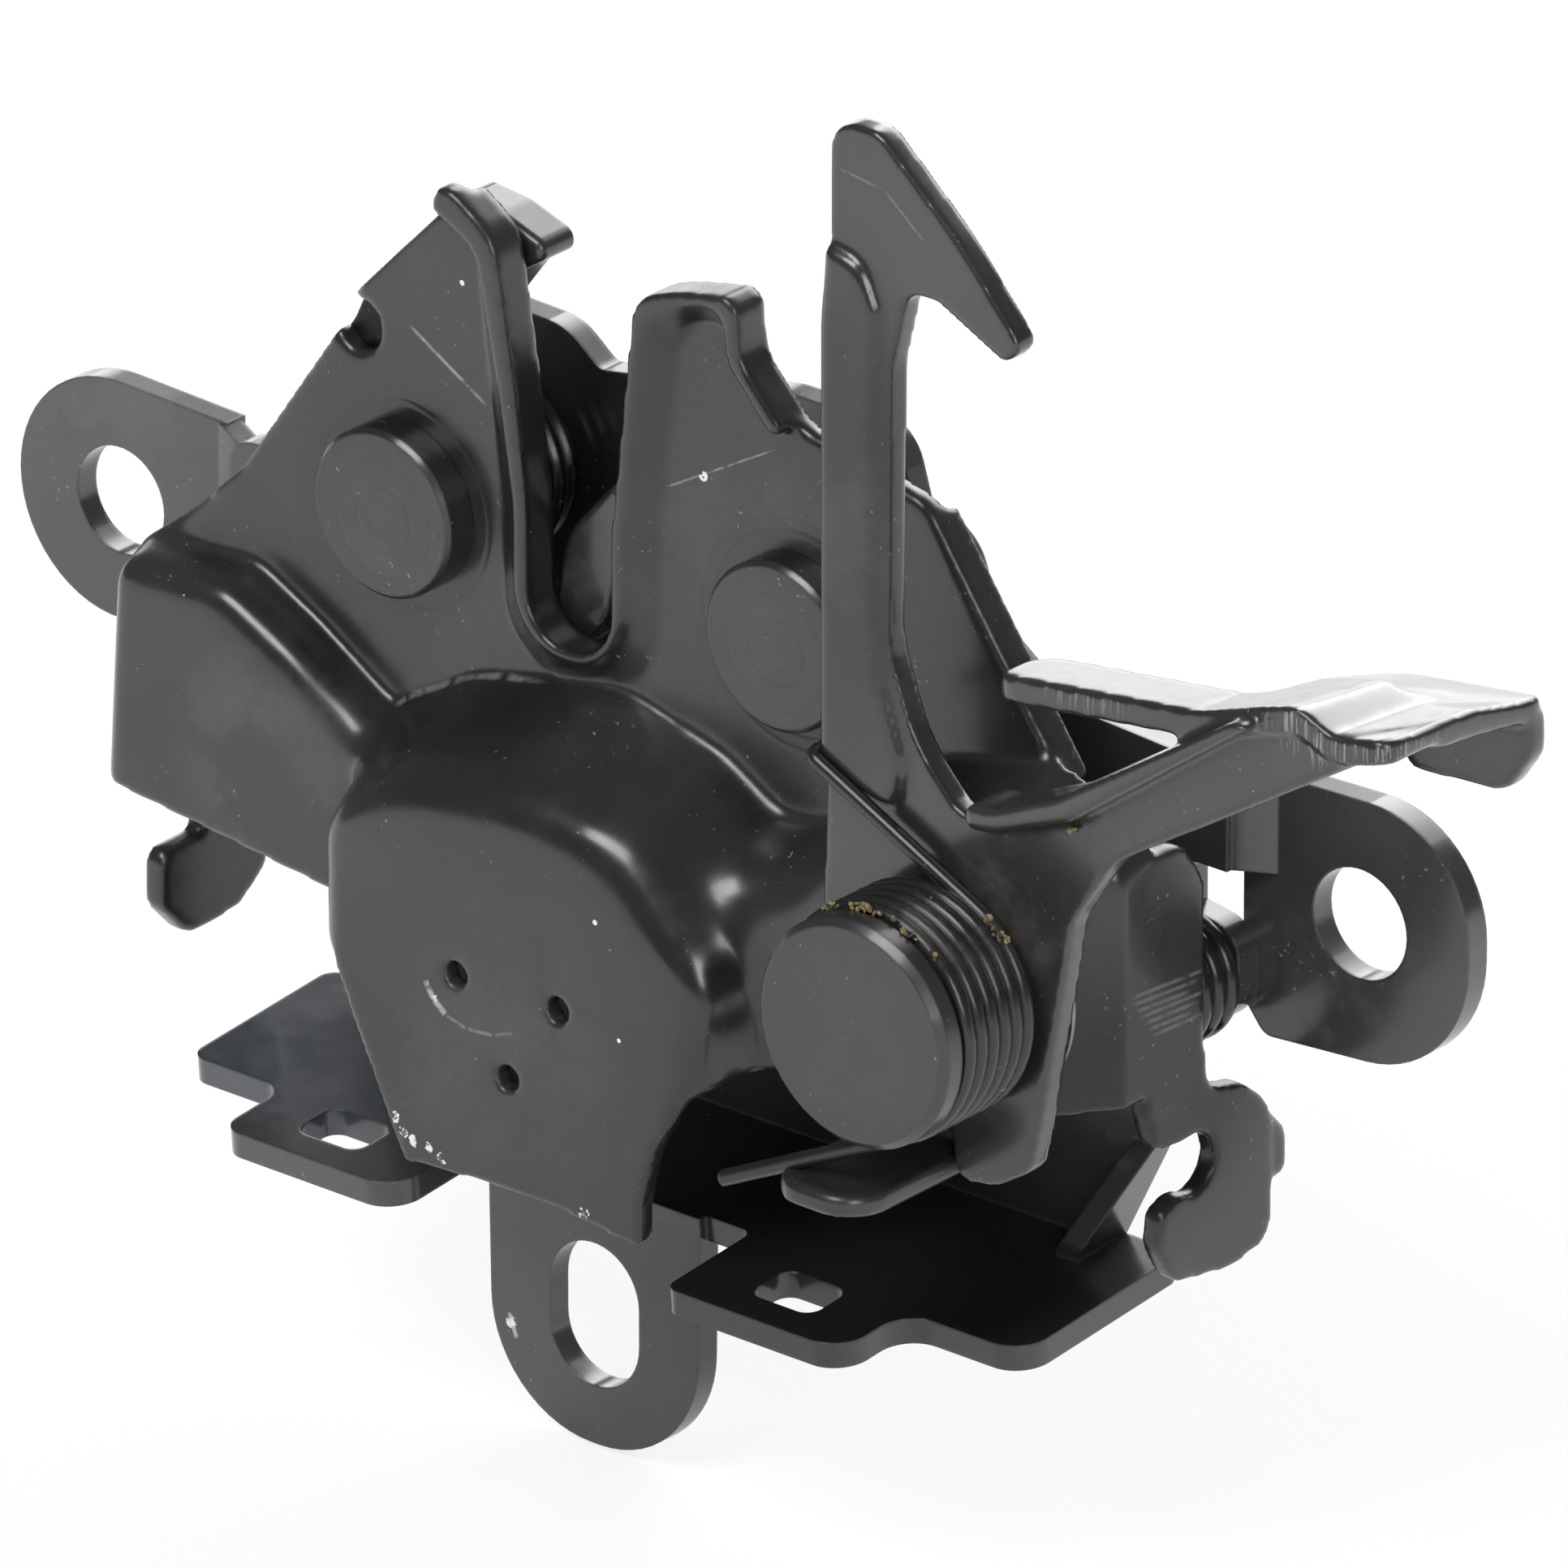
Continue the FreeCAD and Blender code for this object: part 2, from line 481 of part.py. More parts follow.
rear = front_back - 0.6
inside_low = [(10, -70, 0), (10, -0.6, 2), (31, -0.2, 8), (46, 11.6, 8), (60, 15.8, 6), (wall_x - skin, 11.2, 3), (wall_x - skin, -70, 0)]
inside_high = [(10, -70, 0), (10, -4.4, 2), (32.6, -4.2, 8), (45.4, 7.2, 8), (58.4, 11.4, 6), (wall_x - 6.7, 8.6, 2), (wall_x - 6.7, -70, 0)]
inside_mid = between(inside_low, inside_high, 0.63)
inside_mid[5] = (wall_x - skin, 9.8, 3)
inside_mid[6] = (wall_x - skin, -70, 0)
loft(front, "ledge_hollow", "PartDesign::SubtractiveLoft", [
    (rear, inside_low), (ledge_bend - 1.1, inside_mid), (ledge_face - skin, inside_high)])
loft(front, "panel_hollow", "PartDesign::SubtractiveLoft", [
    (rear, [(left_x + skin, -50, 0), (left_x + skin, 6.5, 1.5), (-46.8, 7.3, 4), (-38.2, 2.8, 6), (-26, -5, 1), (-21, -50, 0)]),
    (panel_face - skin, [(left_x + skin - 1.9, -50, 0), (left_x + skin + 1.9, 6.2, 2), (-47.4, 6.9, 4), (-38.6, 2.3, 6), (-26, -6, 1), (-21, -50, 0)])])
loft(front, "bulge_hollow", "PartDesign::SubtractiveLoft", [
    (rear, [(-27.6, -70, 0), (-27.6, -3.4, 7), (-16.4, 3.6, 12), (2, 7.9, 18), (16, 3.8, 10), (28.8, -3, 10), (28.8, -70, 0)]),
    (bulge_face - skin, [(-21.6, -70, 0), (-21.6, -7, 6), (-13.2, -1.6, 10), (2, -0.4, 18), (13.4, -1.2, 8), (24.9, -13.0, 10), (24.9, -70, 0)])])
trim = bulge_face + 1
trim_deep = trim - front_back + 2.6
cut_shape(front, "trim_left", trim, trim_deep, [
    (left_x - 8, -16.0), (-30.6, -20.6, 3), (-23.2, -20.4, 2), (-14.4, -39.4, 2), (-12.8, -42.2), (-12.8, -60), (left_x - 8, -60)])
cut_shape(front, "trim_foot", trim, trim_deep, [(-13, -42.1), (-4, -41.4, 5), (8, -41.3, 8), (19.6, -42.6), (19.6, -60), (-13, -60)])
cut_shape(front, "trim_right", trim, trim_deep, [
    (18.9, -60), (18.9, -38, 6), (20.4, -31.6, 8), (24.6, -24.6, 7), (31, -21.9, 4), (67, -15.9, 3), (wall_x + 4, -14.9), (wall_x + 4, -60)])

notch_y = -S["cable_depth"]
notch_z = S["cable_level"]
notch_r = S["cable_notch"]
drawing = new_sketch(front, "side_wall_outline", "YZ_Plane", wall_x - skin)
draw(drawing, [
    (-front_face - 0.4, 11), (-front_face - 0.4, -17.2, 2), (notch_y - 6.2, notch_z + notch_r + 0.4, 1.5), (notch_y - 2.6, notch_z + notch_r - 0.2, 0.8),
    (notch_y, notch_z + notch_r - 0.3), (notch_y, notch_z - notch_r + 0.3), (notch_y - 2.4, notch_z - notch_r + 0.6, 1),
    (notch_y - 5.4, notch_z - notch_r - 0.5, 1.4), (notch_y - 5.8, notch_z - 7.6, 3), (notch_y - 3.0, notch_z - 12.2, 3),
    (-9.5, notch_z - 13.6, 4), (-3.1, notch_z - 12.4, 3), (-3.5, notch_z + 3.0, 5), (-8.2, notch_z + 6.5, 2.5), (-13.4, notch_z + 7.6, 2.5),
    (-14.3, -10.8, 3), (-14.3, 6, 4), (-18, 11, 3)])
pad(front, "side_wall", drawing, skin, "sizes.sheet_front")
drawing = new_sketch(front, "cable_notch_outline", "YZ_Plane", wall_x - skin - 1)
draw_circle(drawing, notch_y, notch_z, notch_r, "sizes.cable_notch")
pocket(front, "cable_notch_cut", drawing, skin + 2, along=True)
drawing = new_sketch(front, "rear_lug_outline", "YZ_Plane", wall_x - skin - 0.2)
draw(drawing, [(-7, notch_z + 2.4), (-4.6, notch_z + 3.2, 1), (-0.5, notch_z - 1.4, 2), (-0.5, notch_z - 6.2, 1), (-7, notch_z - 6.4)])
pad(front, "rear_lug", drawing, skin, "sizes.sheet_front")
drawing = new_sketch(front, "left_wall_outline", "YZ_Plane", left_x)
draw(drawing, [
    (-front_face + 0.2, 5, 2), (-front_face + 0.2, -16.1, 1), (-15.8, -19, 2), (-15.8, -27.0, 1), (-22.4, -27.2, 1.5), (-22.6, -33.4, 2),
    (-18.4, -37.9, 3), (-10.5, -37.4, 3), (-wall_face, -34.0, 2), (-wall_face, 0, 3), (-16, 5, 4)])
pad(front, "left_wall", drawing, skin, "sizes.sheet_front")
for side, start, end, sign in (("left", slope_left[1], slope_left[0], 1), ("right", slope_right[0], slope_right[1], -1)):
    # Edge bent back along the slope
    run = math.hypot(end[0] - start[0], end[1] - start[1])
    inward_x = sign * abs(end[1] - start[1]) / run * skin
    inward_z = -abs(end[0] - start[0]) / run * skin
    near = (start[0] + (end[0] - start[0]) * 0.04, start[1] + (end[1] - start[1]) * 0.04)
    far = (end[0] - (end[0] - start[0]) * 0.04, end[1] - (end[1] - start[1]) * 0.04)
    add_plate(front, side + "_lip", [
        near, far, (far[0] + inward_x, far[1] + inward_z), (near[0] + inward_x, near[1] + inward_z)], front_face - 0.2, 4.2)


def rim_section(wide):
    """The rim's ring at one level: the slot's edge, and a line outside it at the given width."""
    return [(slot_left - 11.6, top_left + 0.4, 0.8)] + slot_edge + list(reversed([
        (slot_left - 12.8, top_left - 2.4, 0.8), (slot_left - 10.2, top_left - 3.0 - 0.3 * wide, 2), (slot_left - 5.8 - 0.5 * wide, top_left - 5.6, 4),
        (slot_left - 2.0 - wide, 40, 30), (slot_left - wide, 27, 20), (slot_left - wide, foot - wide + 0.6, half + 2),
        (slot_right + wide, foot - wide + 0.6, half + 2), (slot_right + wide, 27, 20), (slot_right + 2.8 + 0.9 * wide, top_right - 3.8 - wide, 4),
        (slot_right + 9.2, top_right - 0.8 * wide - 0.8, 3), (slot_right + 15.0, top_right - 0.8 * wide + 0.6, 2), (slot_right + 15.2, top_right - 6.8, 5),
        (slot_right + 21.4, top_right - 13.4, 2)]))


loft(front, "rim", "PartDesign::AdditiveLoft", [
    (front_face - 0.4, rim_section(S["rim_foot"] + 0.4)), (front_face + S["rim_high"], rim_section(S["rim_wide"]))])
cut_holes(front, "slope_notch", front_face + 1, skin + 1.2, [(-32.6, 40.2, 2.9, None)])
stop_left = pin_x - S["stop_width"] + 0.5
stop_right = pin_x + 0.5
stop_front = -ledge_face - S["stop_reach"]
drawing = new_sketch(front, "stop_outline", "XY_Plane", pin_z - 21.3)
draw(drawing, [(stop_left, stop_front, 4), (stop_right, stop_front, 5), (stop_right, -ledge_face + skin), (stop_left, -ledge_face + skin)])
pad(front, "stop", drawing, skin, "sizes.sheet_front")
add_plate(front, "stop_root", [(stop_left, pin_z - 21.3), (stop_right, pin_z - 21.3), (stop_right, -15.5), (stop_left, -15.5)],
          ledge_face, skin, ledge_bound, "sizes.sheet_front")
cut_holes(front, "front_rivet_holes", front_face + 1, skin + 2, [(claw_x, level, hole_fit, fit_bound), (pawl_x, level, hole_fit, fit_bound)])
cut_holes(front, "pin_hole", ledge_face + 1, skin + 2, [(pin_x, pin_z, S["pin_shank"] + S["fit_clear"], "sizes.pin_shank + sizes.fit_clear")])
cut_holes(front, "small_holes", bulge_face + 1, skin + 2, [
    (S["low_ear_mid"] - 6.8, -19.1, S["dimple_hole"], "sizes.dimple_hole"), (S["low_ear_mid"] + 6.8, -19.1, S["dimple_hole"], "sizes.dimple_hole"),
    (S["low_ear_mid"] + 0.1, -28.7, S["dimple_hole"], "sizes.dimple_hole")])

# Claw on the left rivet, open

claw = new_body("claw")
add_plate(claw, "claw_plate", [
    (claw_x + 17.6, level + 31.2, 1.4), (claw_x + 12.6, level + 28.0, 2), (claw_x + 8.8, level + 23.0, 5), (claw_x + 9.0, level - 6.0, 4),
    (claw_x + 17.2, level - 9.6, 3.4), (claw_x + 18.4, level + 0.6, 8), (claw_x + 25.2, level + 8.2, 1.2), (claw_x + 27.4, level + 6.0, 2),
    (claw_x + 24.0, level - 9.0, 8), (claw_x + 13.0, level - 17.0, 6), (claw_x - 4.0, level - 12.8, 10), (claw_x - 12.0, level - 4.0, 8),
    (claw_x - 9.6, level + 8.0, 8), (claw_x + 1.6, level + 30.0, 6), (claw_x + 4.6, level + 34.4, 1.6), (claw_x + 10.0, level + 33.8, 5)],
    plate_face, S["claw_thick"], None, "sizes.claw_thick")
turn_bound = "sizes.rivet_shank + sizes.run_clear"
turn_fit = S["rivet_shank"] + S["run_clear"]
round_edges(claw, "claw_roll", 0.9, lambda ps: all(abs(p.y + plate_face) < 1e-3 for p in ps))
cut_holes(claw, "claw_bore", plate_face + 1, S["claw_thick"] + 2, [(claw_x, level, turn_fit, turn_bound)])

# Pawl on the right rivet, with its tail down to the cable line

tail_x = pawl_x + 21.0
tail_z = notch_z
pawl = new_body("pawl")
add_plate(pawl, "pawl_plate", [
    (pawl_x - 22.4, level - 7.6, 1.2), (pawl_x - 20.0, level - 13.2, 1.6), (pawl_x - 8.0, level - 10.4, 4), (pawl_x - 1.0, level - 14.0, 6),
    (tail_x - 5.0, tail_z + 4.0, 6), (tail_x - 5.0, tail_z - 5.0, 3), (tail_x + 4.6, tail_z - 5.0, 4), (tail_x + 4.6, tail_z + 8.0, 5),
    (pawl_x + 12.0, level - 8.0, 8), (pawl_x + 11.4, level + 8.0, 8), (pawl_x + 3.0, level + 11.6, 8), (pawl_x - 8.0, level + 9.6, 8),
    (pawl_x - 14.0, level - 3.0, 8)], plate_face, S["pawl_thick"], None, "sizes.pawl_thick")
cut_holes(pawl, "pawl_bore", plate_face + 1, S["pawl_thick"] + 2, [(pawl_x, level, turn_fit, turn_bound), (tail_x, tail_z, 2.6, None)])

# Rivets with their spacers and washers

shank = S["rivet_shank"]
for label, x in (("claw_rivet", claw_x), ("pawl_rivet", pawl_x)):
    turned(label, [
        (0, front_face + S["rivet_head_high"]), (S["rivet_head"] - 0.5, front_face + S["rivet_head_high"]),
        (S["rivet_head"], front_face + S["rivet_head_high"] - 0.5), (S["rivet_head"], front_face), (shank, front_face),
        (shank, step), (S["rivet_tail"], step), (S["rivet_tail"] - 0.8, step - S["rivet_tail_high"]),
        (0, step - S["rivet_tail_high"])], x, level)
for label, x, plate_back in (("claw_spacer", claw_x, claw_back), ("pawl_spacer", pawl_x, pawl_back)):
    ring(label, hole_fit, shank + 2.4, plate_back - S["side_play"], wall_face, x, level)
for label, x in (("claw_washer", claw_x), ("pawl_washer", pawl_x)):
    ring(label, hole_fit, shank + 3.4, front_back, front_back - S["washer_thick"], x, level)

# Lever pin, bush and washer

pin_back = ledge_face - skin
turned("lever_pin", [
    (0, head_back + S["pin_head_high"]), (S["pin_head"] - 0.8, head_back + S["pin_head_high"]), (S["pin_head"], head_back + S["pin_head_high"] - 0.8),
    (S["pin_head"], head_back), (S["pin_shank"], head_back), (S["pin_shank"], pin_back), (S["pin_tail"], pin_back),
    (S["pin_tail"] - 1.2, pin_back - S["pin_tail_high"]), (0, pin_back - S["pin_tail_high"])], pin_x, pin_z)
ring("lever_bush", S["pin_shank"] + S["fit_clear"], S["bush_radius"], head_back, ledge_face, pin_x, pin_z)
ring("lever_washer", S["bush_radius"] + S["fit_clear"], S["bush_radius"] + 3.4, ledge_face + S["washer_thick"], ledge_face, pin_x, pin_z)

# Hook lever: finger plate with its lip, plate with hook, arm and body, flange along the handle arm

arm_left = pin_x - 16.1
arm_right = arm_left + S["arm_width"]
hook = S["hook_top"]
finger_left = pin_x + 6.2
finger_right = pin_x + 56.6
finger_front = -lever_face - 0.8
finger_rear = finger_front + S["finger_depth"]
thick = S["sheet_lever"]
lever = new_body("hook_lever")
front_line = [(finger_left - 3, 33.1), (pin_x + 32.0, 36.6), (pin_x + 40.3, 39.5), (pin_x + 45.2, 40.9), (pin_x + 49.6, 38.8), (finger_right + 3, 40.8)]
rear_line = [(finger_left - 3, 28.6), (pin_x + 32.0, 32.7), (pin_x + 40.3, 34.0), (pin_x + 45.2, 34.8), (pin_x + 49.6, 35.4), (finger_right + 3, 36.8)]
bends = [0, 6, 5, 2.5, 3, 0]
sections = []
mid_line = [(front[0], rear[1] + 0.68 * (front[1] - rear[1])) for front, rear in zip(front_line, rear_line)]
mid_face = -finger_front - 0.55 * S["finger_depth"]
for face, line in ((-finger_front + 1, front_line), (mid_face, mid_line), (-finger_rear - 1, rear_line)):
    upper = [(x, z, r) for (x, z), r in zip(line, bends)]
    lower = [(x, z - thick, r) for (x, z), r in zip(line, bends)]
    sections.append((face, upper + list(reversed(lower))))
loft(lever, "finger_plate", "PartDesign::AdditiveLoft", sections)
drawing = new_sketch(lever, "finger_trim_outline", "XY_Plane", 20)
draw(drawing, [(finger_left - 9, finger_front - 9), (finger_right + 9, finger_front - 9), (finger_right + 9, finger_rear + 9), (finger_left - 9, finger_rear + 9)])
draw(drawing, [
    (finger_left, finger_front, 2.5), (finger_right, finger_front, 2.5), (finger_right, finger_rear, 2), (finger_left + 32.6, finger_rear, 3),
    (finger_left + 29.0, finger_front + 8.6, 2), (finger_left, finger_front + 8.6, 3)])
pocket(lever, "finger_trim", drawing, 28, along=True)
add_plate(lever, "lever_plate", [
    (arm_left + 0.7, hook, 4.5), (arm_left + 7.0, hook, 3.0), (arm_left + 17.3, hook - 9.0, 30), (arm_left + 25.4, hook - 18.2, 1.6),
    (arm_left + 23.2, hook - 20.4, 1.4), (arm_left + 14.4, hook - 16.1, 3), (arm_left + 10.6, hook - 16.2, 2), (arm_right + 0.2, hook - 25, 6),
    (arm_right, pin_z + 35.0, 14), (arm_right + 3.4, pin_z + 25.6, 16), (pin_x + 1.4, pin_z + 19.2, 4), (pin_x + 9.0, pin_z + 20.4, 6),
    (pin_x + 18.4, pin_z + 24.6, 8), (pin_x + 40.6, 37.8), (pin_x + 55.4, 38.2), (pin_x + 21.4, pin_z + 19.8, 8), (pin_x + 16.2, pin_z + 11.8, 6),
    (pin_x + 12.4, pin_z - 9.8), (pin_x + 10.8, pin_z - 17.4, 3), (pin_x + 6.4, pin_z - 20.2, 3), (stop_right + S["stop_play"], pin_z - 21.2, 2.2),
    (stop_right + S["stop_play"], pin_z - 15.4, 1), (pin_x - 7.6, pin_z - 14.8, 9), (pin_x - 16.8, pin_z - 8.0, 8), (pin_x - 15.9, pin_z + 17.0, 30),
    (arm_left, pin_z + 40.0, 30), (arm_left, hook - 22, 6), (arm_left + 0.7, hook - 14, 4)],
    lever_face, thick, None, "sizes.sheet_lever")
add_plate(lever, "arm_flange", [
    (pin_x + 4.8, pin_z + 19.8, 1), (pin_x + 8.8, pin_z + 20.3, 5), (pin_x + 18.4, pin_z + 24.4, 6), (pin_x + 41.0, 38.0), (pin_x + 38.6, 38.0),
    (pin_x + 17.0, pin_z + 26.8, 6), (pin_x + 8.4, pin_z + 22.9, 5), (pin_x + 4.8, pin_z + 22.6, 1)], lever_face + 3.4, 3.4 + thick)
add_plate(lever, "finger_lip", [
    (finger_right - 16.4, 32.6), (finger_right - 0.2, 35.0), (finger_right + 0.2, 31.0, 4), (finger_right - 3.0, 38.2 - S["finger_lip"], 3),
    (finger_right - 16.4, 37.2 - S["finger_lip"], 2.5)], -finger_rear + thick, thick, None, "sizes.sheet_lever")
cut_holes(lever, "lever_bore", lever_face + 1, thick + 2, [
    (pin_x, pin_z, S["bush_radius"] + S["run_clear"], "sizes.bush_radius + sizes.run_clear")])
# Half channel pressed forward along the arm
add_plate(lever, "arm_channel", [
    (arm_left + 0.7, hook - 13.4), (arm_left + 5.2, hook - 14.2, 4), (arm_right - 0.9, hook - 19, 3), (arm_right - 0.9, pin_z + 38.0, 14),
    (arm_right - 0.1, pin_z + 31.0, 8), (arm_right + 2.6, pin_z + 23.0, 4), (arm_right + 1.7, pin_z + 17.4, 2), (arm_right - 3, pin_z + 18.6, 3),
    (arm_left, pin_z + 21.2), (arm_left, pin_z + 40.0), (arm_left, hook - 22)], lever_face + S["emboss"], S["emboss"] + 0.5)
round_edges(lever, "channel_roll", 0.9, lambda ps: all(abs(p.y + lever_face + S["emboss"]) < 1e-3 for p in ps))
cut_shape(lever, "channel_rear", lever_back + S["emboss"], S["emboss"] + 1, [
    (arm_left + 2.2, hook - 16.4), (arm_right - 2.6, hook - 20.4, 2), (arm_right - 2.6, pin_z + 38.0, 10), (arm_right - 1.6, pin_z + 30.0, 6),
    (arm_right + 0.4, pin_z + 23.4, 3), (arm_right - 0.8, pin_z + 20.6, 2), (arm_left + 2.2, pin_z + 22.8)])

# Lever spring: one leg hooks round the arm, the other rests on the spring stop

wire = S["spring_wire"]
middle = S["coil_inner"] + wire / 2
hook_leg = (arm_left + 0.1 - wire / 2 - 0.3 - pin_x, 19.8)
rest_leg = (stop_left - 9.0 - pin_x, -21.2)


def tangent_angle(point, radius, sign):
    away = math.degrees(math.atan2(point[1], point[0]))
    return away + sign * math.degrees(math.acos(radius / math.hypot(point[0], point[1])))


start = tangent_angle(hook_leg, middle, -1)
finish = tangent_angle(rest_leg, middle, 1)
turns = 5 + ((start - finish) % 360) / 360
rear_end = lever_face + wire / 2 + 0.75
pitch = (head_back - 0.15 - wire / 2 - rear_end) / turns
spring, first, last = coil("lever_spring", pin_x, pin_z, middle, wire, rear_end, pitch, start, turns)
length = math.sqrt(hook_leg[0] ** 2 + hook_leg[1] ** 2 - middle ** 2)
tip = first[0] + first[1] * length
rod(spring, "hook_leg", first[0], tip, wire / 2 - TAPER)
rod(spring, "hook_leg_end", tip + FreeCAD.Vector(0, -wire / 2, 0), FreeCAD.Vector(tip.x, -lever_back + 0.5, tip.z), wire / 2)
length = math.sqrt(rest_leg[0] ** 2 + rest_leg[1] ** 2 - middle ** 2)
rod(spring, "rest_leg", last[0], last[0] + last[1] * length, wire / 2 - TAPER)

# Pawl spring on its post at the right of the wall

wire = S["pawl_wire"]
post_r = S["post_radius"]
middle = post_r + 0.6 + wire / 2
rear_end = wall_face + wire / 2 + 0.2
pitch = wire + 0.08
turns = 2.5
post_front = rear_end + pitch * turns + wire / 2 + 0.3
turned("pawl_spring_post", [
    (0, post_front + 0.8), (post_r - 0.5, post_front + 0.8), (post_r, post_front + 0.3), (post_r, wall_face),
    (post_shank, wall_face), (post_shank, step), (post_shank + 0.6, step), (post_shank + 0.1, step - 1.2), (0, step - 1.2)], post_x, post_z)
spring, first, last = coil("pawl_spring", post_x, post_z, middle, wire, rear_end, pitch, 90, turns)
rod(spring, "wall_leg", first[0], first[0] + first[1] * 12, wire / 2 - TAPER)
rod(spring, "pawl_leg", last[0], last[0] + last[1] * 9, wire / 2 - TAPER)

# Claw spring behind the claw, round its spacer

wire = S["claw_wire"]
middle = shank + 3.0 + wire / 2
rear_end = wall_face + wire / 2 + 0.3
turns = 3.5
pitch = wire + 0.1
spring, first, last = coil("claw_spring", claw_x, level, middle, wire, rear_end, pitch, 90, turns)
rod(spring, "claw_leg", last[0], last[0] + last[1] * 9, wire / 2 - TAPER)
rod(spring, "plate_leg", first[0], first[0] + first[1] * 14, wire / 2 - TAPER)

# Checks and files

doc.recompute()
bodies = [item for item in doc.Objects if item.TypeId == "PartDesign::Body"]
for item in doc.Objects:
    if "Invalid" in item.State or "Error" in item.State:
        raise RuntimeError("%s failed: %s" % (item.Label, item.State))
for item in bodies:
    shape = item.Shape
    if shape.isNull() or not shape.isValid() or len(shape.Solids) != 1:
        raise RuntimeError("%s has no single valid solid" % item.Label)
    shape.exportStep("parts/%s.step" % item.Label)
    print("%s volume %.1f mm3" % (item.Label, shape.Volume))
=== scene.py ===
import math
import random

import bmesh
import bpy
import numpy as np
from mathutils import Matrix, Vector
from mathutils.bvhtree import BVHTree


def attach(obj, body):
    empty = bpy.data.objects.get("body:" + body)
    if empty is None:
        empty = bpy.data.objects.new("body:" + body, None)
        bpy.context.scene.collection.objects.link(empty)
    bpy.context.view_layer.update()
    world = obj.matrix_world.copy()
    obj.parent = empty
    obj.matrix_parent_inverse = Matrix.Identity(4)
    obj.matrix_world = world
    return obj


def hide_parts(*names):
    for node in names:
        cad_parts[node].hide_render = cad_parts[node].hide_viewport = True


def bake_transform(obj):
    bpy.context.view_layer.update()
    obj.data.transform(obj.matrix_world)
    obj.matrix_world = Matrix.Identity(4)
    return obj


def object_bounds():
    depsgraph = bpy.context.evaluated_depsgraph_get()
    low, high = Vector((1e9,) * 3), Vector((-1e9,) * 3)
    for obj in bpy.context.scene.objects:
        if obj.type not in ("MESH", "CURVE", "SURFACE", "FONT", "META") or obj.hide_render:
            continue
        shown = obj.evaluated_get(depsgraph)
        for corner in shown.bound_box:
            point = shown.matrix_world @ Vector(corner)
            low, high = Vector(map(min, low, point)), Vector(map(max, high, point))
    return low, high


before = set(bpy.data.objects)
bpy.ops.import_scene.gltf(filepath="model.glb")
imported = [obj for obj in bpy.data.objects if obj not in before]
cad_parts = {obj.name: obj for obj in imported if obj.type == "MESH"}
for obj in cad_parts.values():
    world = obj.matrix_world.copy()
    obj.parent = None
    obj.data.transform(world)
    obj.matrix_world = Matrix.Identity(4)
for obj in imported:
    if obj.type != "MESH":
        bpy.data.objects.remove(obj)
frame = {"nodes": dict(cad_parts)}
cad_box = [list(corner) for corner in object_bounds()]
MM = 0.001

# View of the photograph: the point looked at, the direction to the camera, and the picture's scale
AIM = Vector((7.45, -2.9, -6.4)) * MM
TURN = math.radians(40.05)
LIFT = math.radians(24.14)
DISTANCE = 2.5
PICTURE = 1932
FOCAL_PIXELS = 30100
SENSOR = 36

# Levels of the part's faces along Y, and places on them, in mm
FRONT_FLAT = -22.9
PANEL_FLAT = -29.4
BULGE_FLAT = -39.3
LEVER_FLAT = -36.1
LOW_EAR_FLAT = -25.5
EAR_FLAT = -2.9
HEAD_FLAT = -26.9
PIN_FLAT = -51.3
SIDE_FLAT = 72.3
RIVET_X = 26.2
RIVET_Z = 22.2
PIN = (56.7, -3.1)
POST = (64.0, -9.3)

# Colours, as linear red, green and blue
BLACK = (0.013, 0.0128, 0.0128)
WORN = (0.024, 0.0232, 0.0222)
LEVER_BLACK = (0.016, 0.0158, 0.0156)
PIN_BLACK = (0.015, 0.0155, 0.0165)
PLATE_DARK = (0.027, 0.0265, 0.026)
PLATE_PALE = (0.040, 0.039, 0.038)
SPRING_BLACK = (0.009, 0.009, 0.009)
# Near black of the tab behind the notch: painted shade for the hollow
HOLLOW_SHADE_DARK = (0.004, 0.004, 0.004)
HOLLOW_SHADE_PALE = (0.008, 0.008, 0.008)
# Painted reflection: pale blue on the upward face of the left base flange
BLUE_REFLECTION = (0.034, 0.041, 0.050)
# Painted shade: darkens the base plate under the front plate
BASE_SHADE = (0.006, 0.006, 0.006)
STEEL = (0.42, 0.41, 0.39)
# Lighter grey for the edges: the coat thinned there, and a painted highlight
THIN_EDGE_HIGHLIGHT = (0.13, 0.128, 0.124)
DUST = (0.30, 0.29, 0.27)
SMEAR = (0.115, 0.108, 0.095)
TORN_STEEL = (0.34, 0.33, 0.31)
SCRATCHED = (0.42, 0.41, 0.39)
BARE = (0.70, 0.68, 0.64)
CREAM = (0.50, 0.44, 0.32)
STAIN = (0.16, 0.14, 0.10)
GREASE = (0.20, 0.17, 0.075)
GREASE_DIRT = (0.04, 0.035, 0.02)
FLOOR_GREYS = ((0.86, 0.86, 0.86), (0.88, 0.88, 0.88))


# Materials

